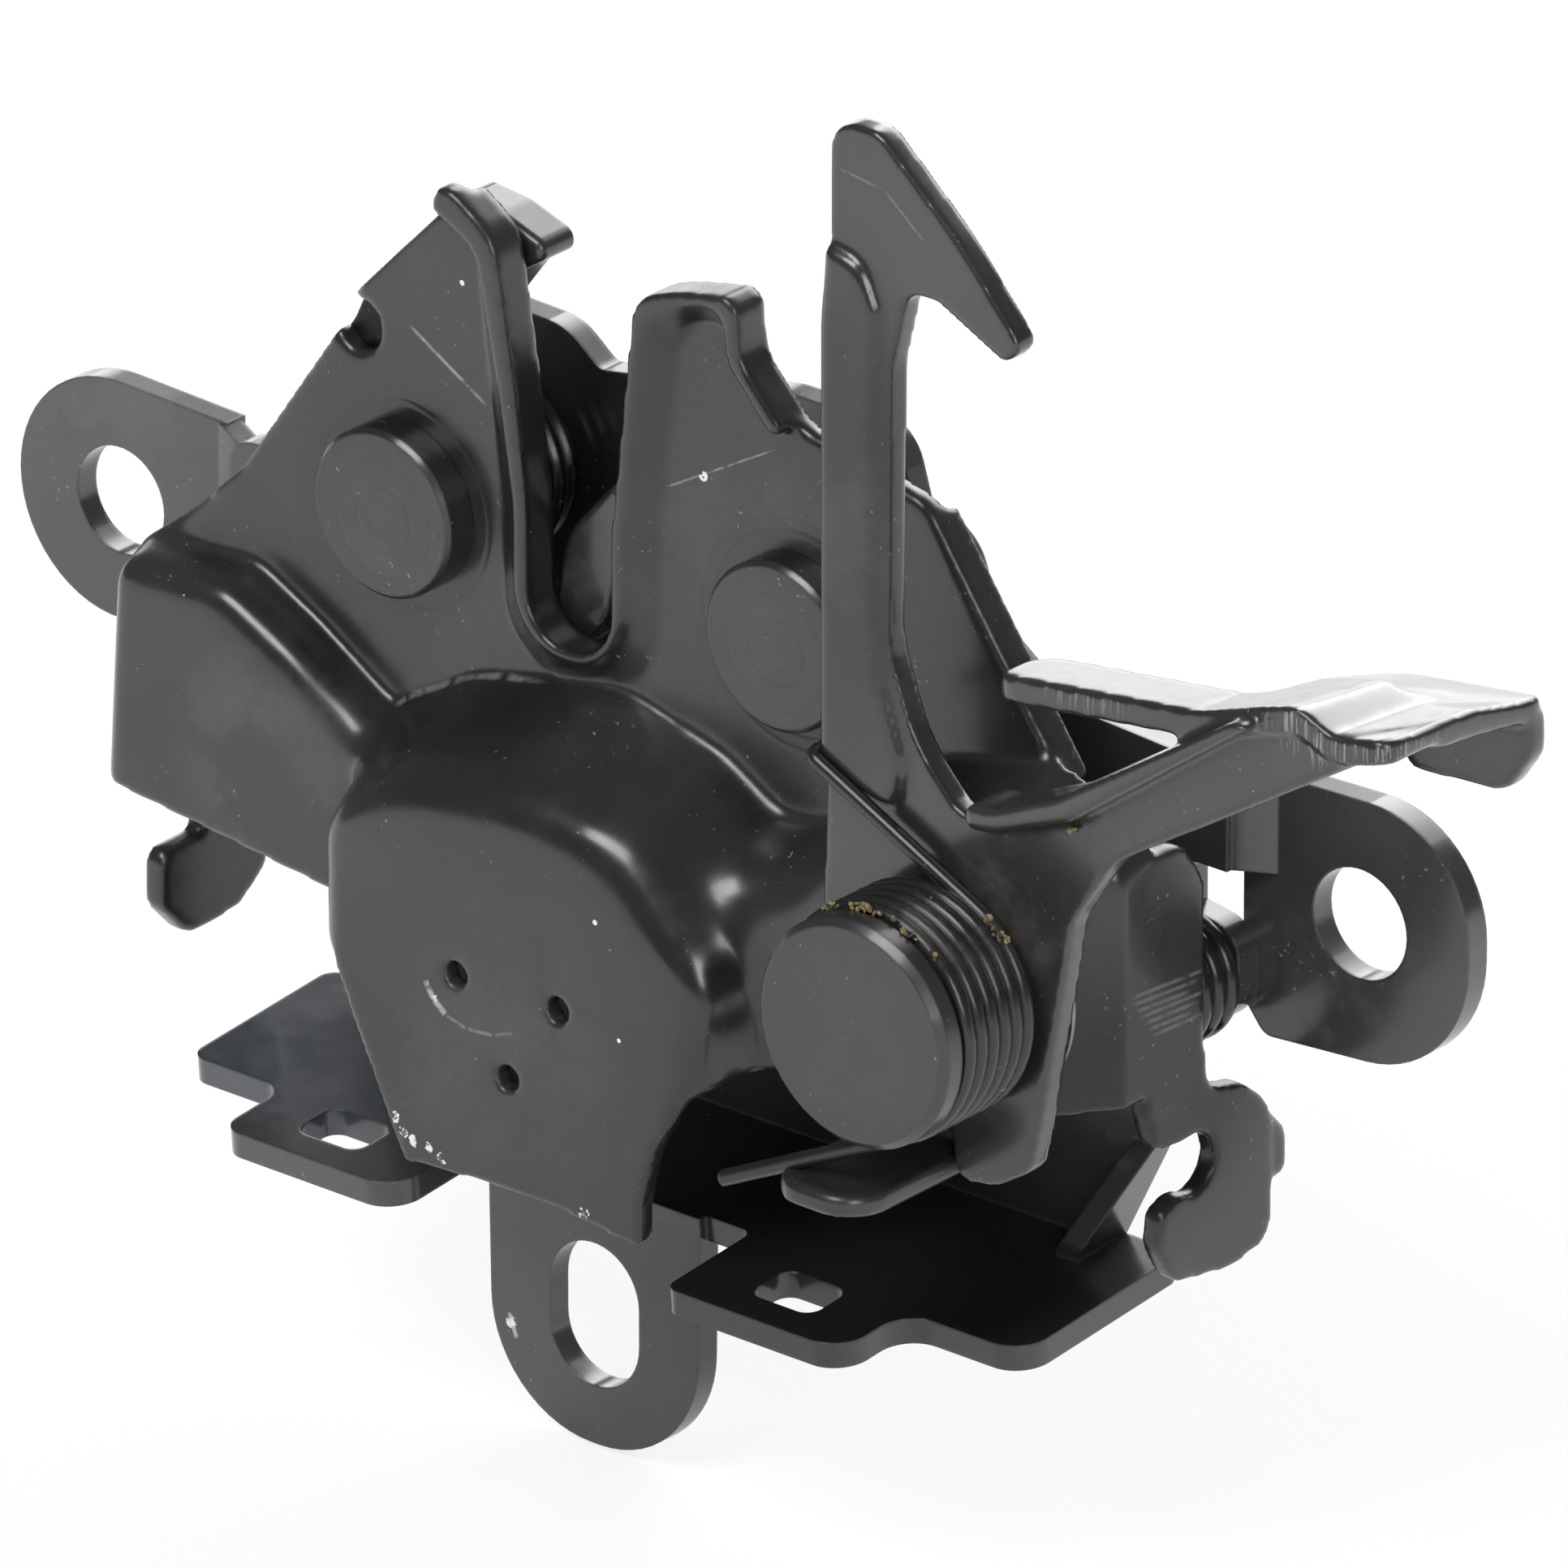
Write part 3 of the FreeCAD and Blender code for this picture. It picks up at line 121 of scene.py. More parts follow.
class Nodes:
    """Short calls for building one material's node tree."""

    def __init__(self, name):
        self.material = bpy.data.materials.new(name)
        self.material.use_nodes = True
        self.tree = self.material.node_tree
        self.shader = self.tree.nodes["Principled BSDF"]
        self.place = self.new("ShaderNodeTexCoord").outputs["Object"]

    def new(self, kind, **settings):
        node = self.tree.nodes.new(kind)
        for key, value in settings.items():
            setattr(node, key, value)
        return node

    def link(self, source, target):
        """Joins a socket to another, or sets a number, a colour or a vector on it."""
        if isinstance(source, (int, float, tuple, Vector)):
            target.default_value = source
        else:
            self.tree.links.new(source, target)

    def math(self, what, a, b=0.0):
        node = self.new("ShaderNodeMath", operation=what)
        self.link(a, node.inputs[0])
        self.link(b, node.inputs[1])
        return node.outputs[0]

    def vector_math(self, what, a, b=None):
        node = self.new("ShaderNodeVectorMath", operation=what)
        self.link(a, node.inputs[0])
        if b is not None:
            self.link(b, node.inputs[1])
        return node

    def noise(self, scale, detail=2.0, rough=0.5, vector=None):
        node = self.new("ShaderNodeTexNoise")
        self.link(self.place if vector is None else vector, node.inputs["Vector"])
        self.link(scale, node.inputs["Scale"])
        self.link(detail, node.inputs["Detail"])
        self.link(rough, node.inputs["Roughness"])
        return node.outputs[0]

    def stretched(self, factors):
        node = self.new("ShaderNodeMapping")
        self.link(self.place, node.inputs["Vector"])
        self.link(factors, node.inputs["Scale"])
        return node.outputs[0]

    def ramp(self, value, low, high, out_low=0.0, out_high=1.0):
        node = self.new("ShaderNodeMapRange", interpolation_type="SMOOTHSTEP")
        numbers = {"Value": value, "From Min": low, "From Max": high, "To Min": out_low, "To Max": out_high}
        for key, number in numbers.items():
            self.link(number, node.inputs[key])
        return node.outputs["Result"]

    def mix(self, share, a, b):
        """Mixes two colours. Each is a socket or red, green and blue."""
        node = self.new("ShaderNodeMix", data_type="RGBA")
        self.link(share, node.inputs[0])
        for colour, target in ((a, node.inputs[6]), (b, node.inputs[7])):
            self.link(colour + (1,) if isinstance(colour, tuple) else colour, target)
        return node.outputs[2]

    def from_point(self, point, factors):
        """Distance from a point (in mm), with each direction stretched by its factor."""
        offset = self.vector_math("SUBTRACT", self.place, Vector(point) * MM)
        wide = self.vector_math("MULTIPLY", offset.outputs[0], factors)
        return self.vector_math("LENGTH", wide.outputs[0]).outputs["Value"]

    def near(self, point, radius, factors=(1, 1, 1)):
        """1 at a point (in mm), falling to 0 at a radius."""
        return self.ramp(self.from_point(point, factors), radius * MM, 0.4 * radius * MM)

    def line(self, start, end, wide):
        """1 along a straight scratch between two points (in mm), which fades at both ends."""
        start, end = Vector(start) * MM, Vector(end) * MM
        run = (end - start).normalized()
        half = (end - start).length / 2
        offset = self.vector_math("SUBTRACT", self.place, (start + end) / 2).outputs[0]
        along = self.math("ABSOLUTE", self.vector_math("DOT_PRODUCT", offset, run).outputs["Value"])
        across = self.vector_math("CROSS_PRODUCT", offset, run).outputs[0]
        beside = self.vector_math("LENGTH", across).outputs["Value"]
        inside = self.ramp(along, half, 0.7 * half)
        return self.math("MULTIPLY", inside, self.ramp(beside, wide * MM, 0.3 * wide * MM))

    def edges(self, radius):
        """1 on the edges, from how far a rounded normal departs from the true one. Gives that share
        and the rounded normal."""
        bevel = self.new("ShaderNodeBevel", samples=4)
        self.link(radius * MM, bevel.inputs["Radius"])
        normal = self.new("ShaderNodeNewGeometry").outputs["Normal"]
        agree = self.vector_math("DOT_PRODUCT", bevel.outputs[0], normal).outputs["Value"]
        return self.ramp(agree, 0.97, 0.8), bevel.outputs[0]

    def bump(self, height, strength, distance, normal=None):
        node = self.new("ShaderNodeBump")
        self.link(strength, node.inputs["Strength"])
        self.link(distance * MM, node.inputs["Distance"])
        self.link(height, node.inputs["Height"])
        if normal is not None:
            self.link(normal, node.inputs["Normal"])
        return node.outputs[0]

    def finish(self, **inputs):
        """Sets the shader's inputs, named with _ for each space, and gives the material."""
        for key, value in inputs.items():
            self.link(value, self.shader.inputs[key.replace("_", " ")])
        return self.material


def black_coat(name, dark, pale, low_rough, high_rough, chips=(), scratches=(), smears=(), rings=(),
               sheared=(), painted_light=(), dulls=(), film=0.5):
    """Glossy black dip coat on pressed steel: cloudy gloss, orange peel, dust, edges lightened by thinned coat
    and a painted highlight, and the marks given.

    Points are in mm. chips: point, radius, threshold of the flakes. scratches: start, end, width, amount.
    smears: point, radius, amount. rings: point on the axis, radius, depth. sheared, for the torn side faces of
    a cut sheet: point, radius, amount. tints, a painted reflection and painted shade laid over the colour:
    point, radius, colour, amount. dulls, where the coat reflects less: point, radius, factors along X, Y and
    Z."""
    n = Nodes(name)
    cloud = n.noise(38, 4, 0.6)
    fine = n.noise(420, 3, 0.6)
    patches = n.ramp(n.noise(90, 4, 0.7), 0.40, 0.65) if smears else 0.0
    broken = n.ramp(n.noise(500, 3, 0.7), 0.30, 0.55) if scratches else 0.0
    flakes = n.noise(430, 6, 0.72) if chips else 0.0
    colour = n.mix(n.ramp(cloud, 0.35, 0.7), dark, pale)
    edge, rounded = n.edges(0.5)
    # Edges turn lighter grey: partly coat thinned on them, partly a painted highlight
    thin = n.math("MULTIPLY", edge, n.ramp(fine, 0.35, 0.75))
    colour = n.mix(n.math("MULTIPLY", thin, 0.45), colour, THIN_EDGE_HIGHLIGHT)
    specks = n.math("MULTIPLY", n.ramp(n.noise(1500, 1), 0.71, 0.76), n.ramp(n.noise(130, 2), 0.5, 0.68))
    colour = n.mix(n.math("MULTIPLY", specks, 0.5), colour, DUST)
    gloss = n.math("ADD", n.math("MULTIPLY", cloud, 0.6), n.math("MULTIPLY", fine, 0.4))
    rough = n.ramp(gloss, 0.3, 0.7, low_rough, high_rough)
    peel = n.math("MULTIPLY", n.noise(650, 2), 0.4)
    height = n.math("ADD", peel, n.math("MULTIPLY", n.noise(160, 2), 1.2))
    for point, radius, deep in rings:
        away = n.math("ABSOLUTE", n.math("SUBTRACT", n.from_point(point, (1, 0, 1)), radius * MM))
        groove = n.ramp(away, 0.45 * MM, 0.08 * MM)
        height = n.math("SUBTRACT", height, n.math("MULTIPLY", groove, deep))
        rough = n.math("ADD", rough, n.math("MULTIPLY", groove, 0.06))
    # Painted reflection and painted shade, laid over the coat's colour
    for point, radius, painted_colour, amount in painted_light:
        colour = n.mix(n.math("MULTIPLY", n.near(point, radius), amount), colour, painted_colour)
    for point, radius, amount in smears:
        smear = n.math("MULTIPLY", n.near(point, radius), patches)
        colour = n.mix(n.math("MULTIPLY", smear, amount), colour, SMEAR)
        rough = n.math("ADD", rough, n.math("MULTIPLY", smear, 0.20))
    for point, radius, amount in sheared:
        normal = n.new("ShaderNodeSeparateXYZ")
        n.link(n.new("ShaderNodeNewGeometry").outputs["Normal"], normal.inputs[0])
        side = n.ramp(n.math("ABSOLUTE", normal.outputs["Z"]), 0.45, 0.2)
        streak = n.ramp(n.noise(1, 3, 0.7, n.stretched((2300, 2300, 160))), 0.50, 0.62)
        torn = n.math("MULTIPLY", n.math("MULTIPLY", side, streak), n.near(point, radius, (0.9, 1, 1.9)))
        colour = n.mix(n.math("MULTIPLY", torn, amount), colour, TORN_STEEL)
        rough = n.math("ADD", rough, n.math("MULTIPLY", torn, 0.15))
        height = n.math("SUBTRACT", height, n.math("MULTIPLY", torn, 1.2))
    for start, end, wide, amount in scratches:
        mark = n.math("MULTIPLY", n.line(start, end, wide), broken)
        colour = n.mix(n.math("MULTIPLY", mark, amount), colour, SCRATCHED)
        rough = n.math("ADD", rough, n.math("MULTIPLY", mark, 0.25))
    for point, radius, threshold in chips:
        spread = n.math("MULTIPLY", n.math("SUBTRACT", 1.0, n.near(point, radius)), 0.6)
        chip = n.ramp(n.math("SUBTRACT", flakes, spread), threshold, threshold + 0.02)
        colour = n.mix(chip, colour, BARE)
        rough = n.math("ADD", rough, n.math("MULTIPLY", chip, 0.4))
        height = n.math("SUBTRACT", height, n.math("MULTIPLY", chip, 1.5))
    sheen = 0.5
    for point, radius, factors in dulls:
        sheen = n.math("SUBTRACT", sheen, n.math("MULTIPLY", n.near(point, radius, factors), 0.28))
    return n.finish(
        Base_Color=colour, Roughness=n.math("MINIMUM", rough, 0.9), Specular_IOR_Level=sheen, IOR=1.55,
        Coat_Weight=film, Coat_Roughness=0.13, Normal=n.bump(height, 0.16, 0.05, rounded))


def turned_steel(name, colour, rough):
    """Bright turned steel with fine tool lines and a thin film of oil."""
    n = Nodes(name)
    lines = n.noise(2400, 2, 0.6, n.stretched((0.15, 1, 0.15)))
    film = n.mix(n.ramp(n.noise(70, 3), 0.3, 0.7), colour, tuple(0.6 * c for c in colour))
    return n.finish(
        Base_Color=film, Roughness=n.ramp(lines, 0.3, 0.7, rough, rough + 0.2), Metallic=1.0,
        Normal=n.bump(lines, 0.2, 0.02))


def pale_plastic(name):
    """Cream moulded bush, stained by grease and coat."""
    n = Nodes(name)
    stain = n.ramp(n.noise(160, 4, 0.7), 0.42, 0.62)
    return n.finish(
        Base_Color=n.mix(stain, CREAM, STAIN), Roughness=n.ramp(stain, 0, 1, 0.5, 0.28),
        Subsurface_Weight=0.05, Subsurface_Scale=0.001, Normal=n.bump(n.noise(900, 3), 0.3, 0.05))


def yellow_grease(name):
    """Yellowish grease, wet and lumpy, with black dirt worked in."""
    n = Nodes(name)
    dirt = n.ramp(n.noise(700, 4, 0.7), 0.45, 0.6)
    return n.finish(
        Base_Color=n.mix(dirt, GREASE, GREASE_DIRT), Roughness=n.ramp(dirt, 0, 1, 0.18, 0.4),
        Subsurface_Weight=0.2, Subsurface_Scale=0.0006, Normal=n.bump(n.noise(1100, 3), 0.6, 0.1))


def shade_smooth(mesh, material):
    mesh.materials.clear()
    mesh.materials.append(material)
    for polygon in mesh.polygons:
        polygon.use_smooth = True
        polygon.material_index = 0


def paint(node, material):
    shade_smooth(frame["nodes"][node].data, material)


# Pressed sheets: the two plates whose bends show, on even meshes

def softened(node, body, voxel, passes, zones):
    """The node's own shape with the soft bends of pressed sheet, in place of the CAD solid. It is an even mesh
    laid on the solid's faces. Each zone is a low corner, a high corner and a margin (in mm), a number of
    smoothing passes inside it, and points that keep their shape, each with a radius."""
    source = frame["nodes"][node]
    piece = bpy.data.objects.new(node + "_pressed", source.data.copy())
    bpy.context.scene.collection.objects.link(piece)
    remesh = piece.modifiers.new("even_mesh", "REMESH")
    remesh.mode = "VOXEL"
    remesh.voxel_size = voxel * MM
    mesh = bpy.data.meshes.new_from_object(piece.evaluated_get(bpy.context.evaluated_depsgraph_get()))
    piece.modifiers.clear()
    piece.data = mesh
    faces = BVHTree.FromPolygons(
        [v.co for v in source.data.vertices], [tuple(q.vertices) for q in source.data.polygons])
    place = np.array([faces.find_nearest(v.co)[0] for v in mesh.vertices])
    count = len(place)
    pairs = np.empty(len(mesh.edges) * 2, dtype=np.int64)
    mesh.edges.foreach_get("vertices", pairs)
    pairs = pairs.reshape(-1, 2)
    ones = np.concatenate([pairs[:, 0], pairs[:, 1]])
    others = np.concatenate([pairs[:, 1], pairs[:, 0]])
    links = np.bincount(ones, minlength=count)

    def smooth(share, times):
        for _ in range(times):
            for axis in range(3):
                mean = np.bincount(ones, weights=place[others, axis], minlength=count) / links
                place[:, axis] += 0.5 * share * (mean - place[:, axis])

    for low, high, margin, times, keep in zones:
        to_low = place - np.array(low) * MM
        to_high = np.array(high) * MM - place
        share = np.clip(np.minimum(to_low, to_high).min(axis=1) / (margin * MM), 0, 1)
        for point, radius in keep:
            away = np.linalg.norm((place - np.array(point) * MM)[:, [0, 2]], axis=1) / (radius * MM)
            share = share * np.clip(2 * away - 1, 0, 1)
        smooth(share, times)
    smooth(np.ones(count), passes)
    mesh.vertices.foreach_set("co", place.reshape(-1))
    mesh.update()
    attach(piece, body)
    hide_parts(node)
    frame["nodes"][piece.name] = piece


DRAIN_HOLES = [((-5.8, 0, -19.1), 3.4), ((7.8, 0, -19.1), 3.4), ((1.1, 0, -28.7), 3.4)]
BULGE_ZONE = ((-36, -60, -7), (44, -24.4, 12), 5, 90, [])
BULGE_LOW_ZONE = ((-17, -60, -28), (44, -24.4, 4), 6, 60, DRAIN_HOLES)
PANEL_ZONE = ((-60, -60, -8), (-22, -21.8, 16), 4, 40, [])
LEDGE_ZONE = ((10, -60, -10), (62, -21.8, 20), 4, 32, [])
FINGER_ZONE = ((62, -40, 18), (114, -10, 44), 2, 3, [])
softened("front_plate", "housing", 0.56, 3,
         [BULGE_ZONE, BULGE_LOW_ZONE, PANEL_ZONE, LEDGE_ZONE])
softened("hook_lever", "lever_body", 0.45, 4, [FINGER_ZONE])


# Coats, with the marks of the photograph: runs of (x, z) points on one level of the part

FLAKES = [(-14.0, -37.4), (-12.9, -38.8), (-11.4, -39.4), (-9.6, -39.6), (-7.6, -40.2)]
ARC = [(-9.8, -20.7), (-8.6, -22.6), (-7.0, -23.9), (-4.2, -24.6), (-0.5, -24.3), (2.0, -23.2)]
SEAM = [(-48.5, 8.6), (-42.6, 6.2), (-37.4, 2.9), (-31.9, 0.2), (-27.0, -1.2), (-26.0, 0.8), (-19.7, 4.3),
        (-12.6, 6.9), (-4.5, 7.7), (3.1, 8.3), (12.9, 6.7), (17.2, 4.0), (23.6, 0.4)]
HOOK_LINE = [(42.1, 82.0), (48.4, 81.1), (53.6, 76.9)]
RUBS = 7
HEAD_RINGS = ((8.6, 1.5), (6.4, 2.5), (3.6, 3.5), (2.0, 2.0))


def chain(points, depth, wide, amount):
    """One scratch for each pair of neighbouring (x, z) points on a level of the part."""
    return [((a[0], depth, a[1]), (b[0], depth, b[1]), wide, amount) for a, b in zip(points, points[1:])]


def rub(k):
    """One of the slanted rub marks on the right side wall."""
    start = (SIDE_FLAT, -27 + 0.7 * k, -3.2 - 0.9 * k)
    end = (SIDE_FLAT, -14.0 - 1.1 * (k % 3), -4.2 - 0.8 * k)
    return (start, end, 0.3, 0.22)


paint("front_plate_pressed", black_coat(
    "plate_front", BLACK, WORN, 0.19, 0.32,
    chips=[((x, BULGE_FLAT, z), 1.4, 0.50) for x, z in FLAKES] + [
        ((11.3, BULGE_FLAT, -40.6), 1.6, 0.50), ((13.6, FRONT_FLAT, 36.3), 1.1, 0.46),
        ((-8.4, BULGE_FLAT, -22.6), 1.2, 0.52), ((-51.1, PANEL_FLAT, 7.0), 0.7, 0.47),
        ((-18.4, FRONT_FLAT, 48.7), 0.6, 0.42), ((16.2, BULGE_FLAT, -19.9), 0.5, 0.44),
        ((13.0, BULGE_FLAT, -7.7), 0.5, 0.44), ((SIDE_FLAT, -18, -24), 0.8, 0.5)],
    scratches=chain([(-25.8, 42.3), (-15.0, 35.9)], FRONT_FLAT, 0.3, 0.5)
    + chain([(6.2, 32.3), (23.6, 42.1)], FRONT_FLAT, 0.16, 0.4)
    + chain(ARC[:3], BULGE_FLAT, 0.55, 0.75)
    + chain(ARC[2:], BULGE_FLAT, 0.28, 0.3)
    + chain(SEAM, FRONT_FLAT - 0.5, 0.7, 0.22)
    + [rub(k) for k in range(RUBS)],
    smears=[((-40, PANEL_FLAT, -8), 16, 0.3), ((0, BULGE_FLAT, -25), 20, 0.2),
            ((20, FRONT_FLAT, 30), 16, 0.25)],
    rings=[((-RIVET_X, 0, RIVET_Z), 11.2, 5.0), ((RIVET_X, 0, RIVET_Z), 11.2, 5.0),
           ((RIVET_X, 0, RIVET_Z), 12.6, 2.5)],
    dulls=[((SIDE_FLAT, -20, -14), 24, (1, 1, 1))], film=0.15))
paint("back_plate", black_coat(
    "plate_back", PLATE_DARK, PLATE_PALE, 0.16, 0.28,
    chips=[((-10.2, LOW_EAR_FLAT, -64.5), 1.6, 0.52), ((74, EAR_FLAT, -21), 0.9, 0.5)],
    scratches=chain([(-10.6, -63.4), (-9.5, -66.3)], LOW_EAR_FLAT, 0.4, 0.8),
    smears=[((-83, EAR_FLAT, 6), 14, 0.3), ((84, EAR_FLAT, -8), 14, 0.25)],
    # Painted light on the back plate: a blue reflection on the left base flange, and shade on the base under
    # the front plate
    painted_light=[((-40, -16, -42), 30, BLUE_REFLECTION, 0.9), ((34, -30, -44), 44, BASE_SHADE, 0.85)]))
paint("hook_lever_pressed", black_coat(
    "lever_coat", LEVER_BLACK, WORN, 0.17, 0.30,
    chips=[((62, LEVER_FLAT, 2), 4, 0.66), ((56, LEVER_FLAT, 12), 3, 0.66)],
    scratches=chain(HOOK_LINE, LEVER_FLAT, 0.2, 0.2),
    smears=[((50, LEVER_FLAT - 1.2, 40), 18, 0.2), ((66, LEVER_FLAT, 8), 10, 0.3)],
    sheared=[((108, -36.9, 39.6), 13, 0.6), ((74, -37.5, 36), 9, 0.3)],
    dulls=[((44, -36, 44), 13, (1, 1, 0.35))]))
for node, x in (("claw_rivet", -RIVET_X), ("pawl_rivet", RIVET_X)):
    paint(node, black_coat(
        node + "_coat", BLACK, WORN, 0.20, 0.33, smears=[((x, HEAD_FLAT, RIVET_Z), 8, 0.2)],
        rings=[((x + 0.5, 0, RIVET_Z - 0.4), radius, deep) for radius, deep in HEAD_RINGS], film=0.25))
paint("lever_pin", black_coat(
    "pin_coat", PIN_BLACK, WORN, 0.24, 0.38, smears=[((PIN[0], PIN_FLAT, PIN[1]), 12, 0.2)], film=0.25))
claw_coat = black_coat("claw_coat", BLACK, WORN, 0.22, 0.38, smears=[((-10, -15, 25), 16, 0.3)])
paint("claw", claw_coat)
paint("pawl", claw_coat)
paint("pawl_spring_post", black_coat("post_coat", BLACK, WORN, 0.22, 0.36))
steel = turned_steel("spacer_steel", STEEL, 0.28)
for node in ("claw_spacer", "pawl_spacer", "claw_washer", "pawl_washer", "lever_washer"):
    paint(node, steel)
paint("lever_bush", pale_plastic("bush_plastic"))
spring_coat = black_coat(
    "spring_coat", SPRING_BLACK, BLACK, 0.14, 0.26, smears=[((62, -42, 8), 9, 0.25)], film=0.0)
paint("claw_spring", spring_coat)


# Coil springs with round wire, each on its own CAD spring's path

def coil_path(centre, middle, rear, pitch, start, turns, steps=44):
    """Points (in mm) of a coil about a line along Y, forward from its rear, clockwise seen from the front."""
    points = []
    count = int(turns * steps)
    for k in range(count + 1):
        share = k / count
        angle = math.radians(start - 360 * turns * share)
        points.append(Vector((
            centre[0] + middle * math.cos(angle),
            -(rear + pitch * turns * share),
            centre[1] + middle * math.sin(angle))))
    return points


def bend(before, corner, after, radius, steps=5):
    """Points (in mm) of a rounded bend in a wire that runs through a corner."""
    first = corner + (before - corner).normalized() * radius
    last = corner + (after - corner).normalized() * radius
    points = []
    for k in range(steps + 1):
        share = k / steps
        points.append(first.lerp(corner, share).lerp(corner.lerp(last, share), share))
    return points


def wire_piece(name, points, wire, node):
    """A tube of round wire through points (in mm) that stands for one CAD spring."""
    curve = bpy.data.curves.new(name, "CURVE")
    curve.dimensions = "3D"
    curve.bevel_depth = wire / 2 * MM
    curve.bevel_resolution = 4
    curve.use_fill_caps = True
    spline = curve.splines.new("POLY")
    spline.points.add(len(points) - 1)
    for target, point in zip(spline.points, points):
        target.co = (*(point * MM), 1)
    source = bpy.data.objects.new(name + "_line", curve)
    mesh = bpy.data.meshes.new_from_object(source)
    bpy.data.objects.remove(source)
    shade_smooth(mesh, spring_coat)
    piece = bpy.data.objects.new(name, mesh)
    bpy.context.scene.collection.objects.link(piece)
    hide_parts(node)
    return piece


def tangent_angle(point, radius, sign):
    """Angle in degrees at which a straight leg from a point meets a circle."""
    away = math.degrees(math.atan2(point[1], point[0]))
    return away + sign * math.degrees(math.acos(radius / math.hypot(point[0], point[1])))


def tangent_length(point, radius):
    return math.sqrt(point[0] ** 2 + point[1] ** 2 - radius ** 2)


def leg_end(near_end, following, length):
    """The far end of a straight leg that leaves a coil at one of its end points."""
    run = near_end - following
    return near_end + Vector((run.x, 0, run.z)).normalized() * length


# The lever's spring. Both legs' points are from the pin's axis
WIRE = 1.75
COIL_INSIDE = 11.0
FULL_TURNS = 5
HEAD_BACK = 48.5
COIL_GAP = 0.15
MIDDLE = COIL_INSIDE + WIRE / 2
REAR = 37.725
FRONT = HEAD_BACK - COIL_GAP - WIRE / 2
LEVER_BACK = 33.1
HOOK_LEG = (-16.1 + 0.1 - WIRE / 2 - 0.3, 19.8)
HOOK_BEND = 1.2
REST_LEG = (-20.5, -21.2)
start_angle = tangent_angle(HOOK_LEG, MIDDLE, -1)
finish_angle = tangent_angle(REST_LEG, MIDDLE, 1)
turns = FULL_TURNS + ((start_angle - finish_angle) % 360) / 360
coil = coil_path(PIN, MIDDLE, REAR, (FRONT - REAR) / turns, start_angle, turns)
hook_tip = leg_end(coil[0], coil[1], tangent_length(HOOK_LEG, MIDDLE))
hook_back = Vector((hook_tip.x, -LEVER_BACK + 0.5, hook_tip.z))
rest_tip = leg_end(coil[-1], coil[-2], tangent_length(REST_LEG, MIDDLE))
hook = [hook_back] + bend(hook_back, hook_tip, coil[0], HOOK_BEND)
lever_wire = wire_piece("lever_spring_wire", hook + coil + [rest_tip], WIRE, "lever_spring")
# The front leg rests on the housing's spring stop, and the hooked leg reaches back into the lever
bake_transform(lever_wire)

# The pawl's spring, on its post
PAWL_WIRE = 2.0
POST_RADIUS = 4.5
POST_GAP = 0.6
POST_COIL_REAR = 5.9 + 0.2
PAWL_PITCH = PAWL_WIRE + 0.08
coil = coil_path(
    POST, POST_RADIUS + POST_GAP + PAWL_WIRE / 2, POST_COIL_REAR + PAWL_WIRE / 2, PAWL_PITCH, 90, 2.5)
pawl_wire = wire_piece(
    "pawl_spring_wire", [leg_end(coil[0], coil[1], 12)] + coil + [leg_end(coil[-1], coil[-2], 9)],
    PAWL_WIRE, "pawl_spring")
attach(pawl_wire, "housing")


# Folded edge of the sheet behind the notch in the left slope, coloured near black as painted shade in the
# notch's hollow: (x, z) points, between two levels

TAB = [(-37.4, 36.2), (-34.9, 39.7), (-33.1, 43.6), (-28.4, 43.4), (-27.6, 36.4), (-31.6, 34.2)]
TAB_LEVELS = (-20.7, -19.0)
TAB_ROUND = 0.4
count = len(TAB)
corners = [(x * MM, y * MM, z * MM) for y in TAB_LEVELS for x, z in TAB]
sides = [(k + count, (k + 1) % count + count, (k + 1) % count, k) for k in range(count)]
mesh = bpy.data.meshes.new("notch_shade_tab")
mesh.from_pydata(corners, [], [tuple(range(count)), tuple(reversed(range(count, 2 * count)))] + sides)
shape = bmesh.new()
shape.from_mesh(mesh)
bmesh.ops.recalc_face_normals(shape, faces=shape.faces)
bmesh.ops.bevel(
    shape, geom=list(shape.edges), offset=TAB_ROUND * MM, segments=3, affect="EDGES", profile=0.5)
shape.to_mesh(mesh)
shape.free()
# Painted shade: a near-black coat with a dulled reflection, so that the notch reads as a shaded hollow
mesh.materials.append(black_coat(
    "tab_painted_shade", HOLLOW_SHADE_DARK, HOLLOW_SHADE_PALE, 0.35, 0.5, dulls=[((-32, -20, 40), 40, (1, 1, 1))], film=0.0))
notch_shade_tab = bpy.data.objects.new("notch_shade_tab", mesh)
bpy.context.scene.collection.objects.link(notch_shade_tab)
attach(notch_shade_tab, "housing")


# Grease on the spring under the pin's head, and on the spring and the lever behind

def lumps(name, spots, body, material):
    """Small flattened lumps of grease at points (in mm), each with its own size."""
    draw = random.Random(7)
    mesh = bpy.data.meshes.new(name)
    shape = bmesh.new()
    for point, size in spots:
        ball = bmesh.ops.create_icosphere(shape, subdivisions=2, radius=size * MM)["verts"]
        stretch = Vector((draw.uniform(0.8, 1.5), draw.uniform(0.5, 0.9), draw.uniform(0.5, 0.9)))
        for vert in ball:
            uneven = draw.uniform(0.86, 1.12)
            vert.co = Vector([c * w * uneven for c, w in zip(vert.co, stretch)])
        turn = Matrix.Rotation(draw.uniform(0, math.pi), 3, "Y")
        for vert in ball:
            vert.co = turn @ vert.co + Vector(point) * MM
    shape.to_mesh(mesh)
    shape.free()
    shade_smooth(mesh, material)
    piece = bpy.data.objects.new(name, mesh)
    bpy.context.scene.collection.objects.link(piece)
    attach(piece, body)


place_draw = random.Random(3)


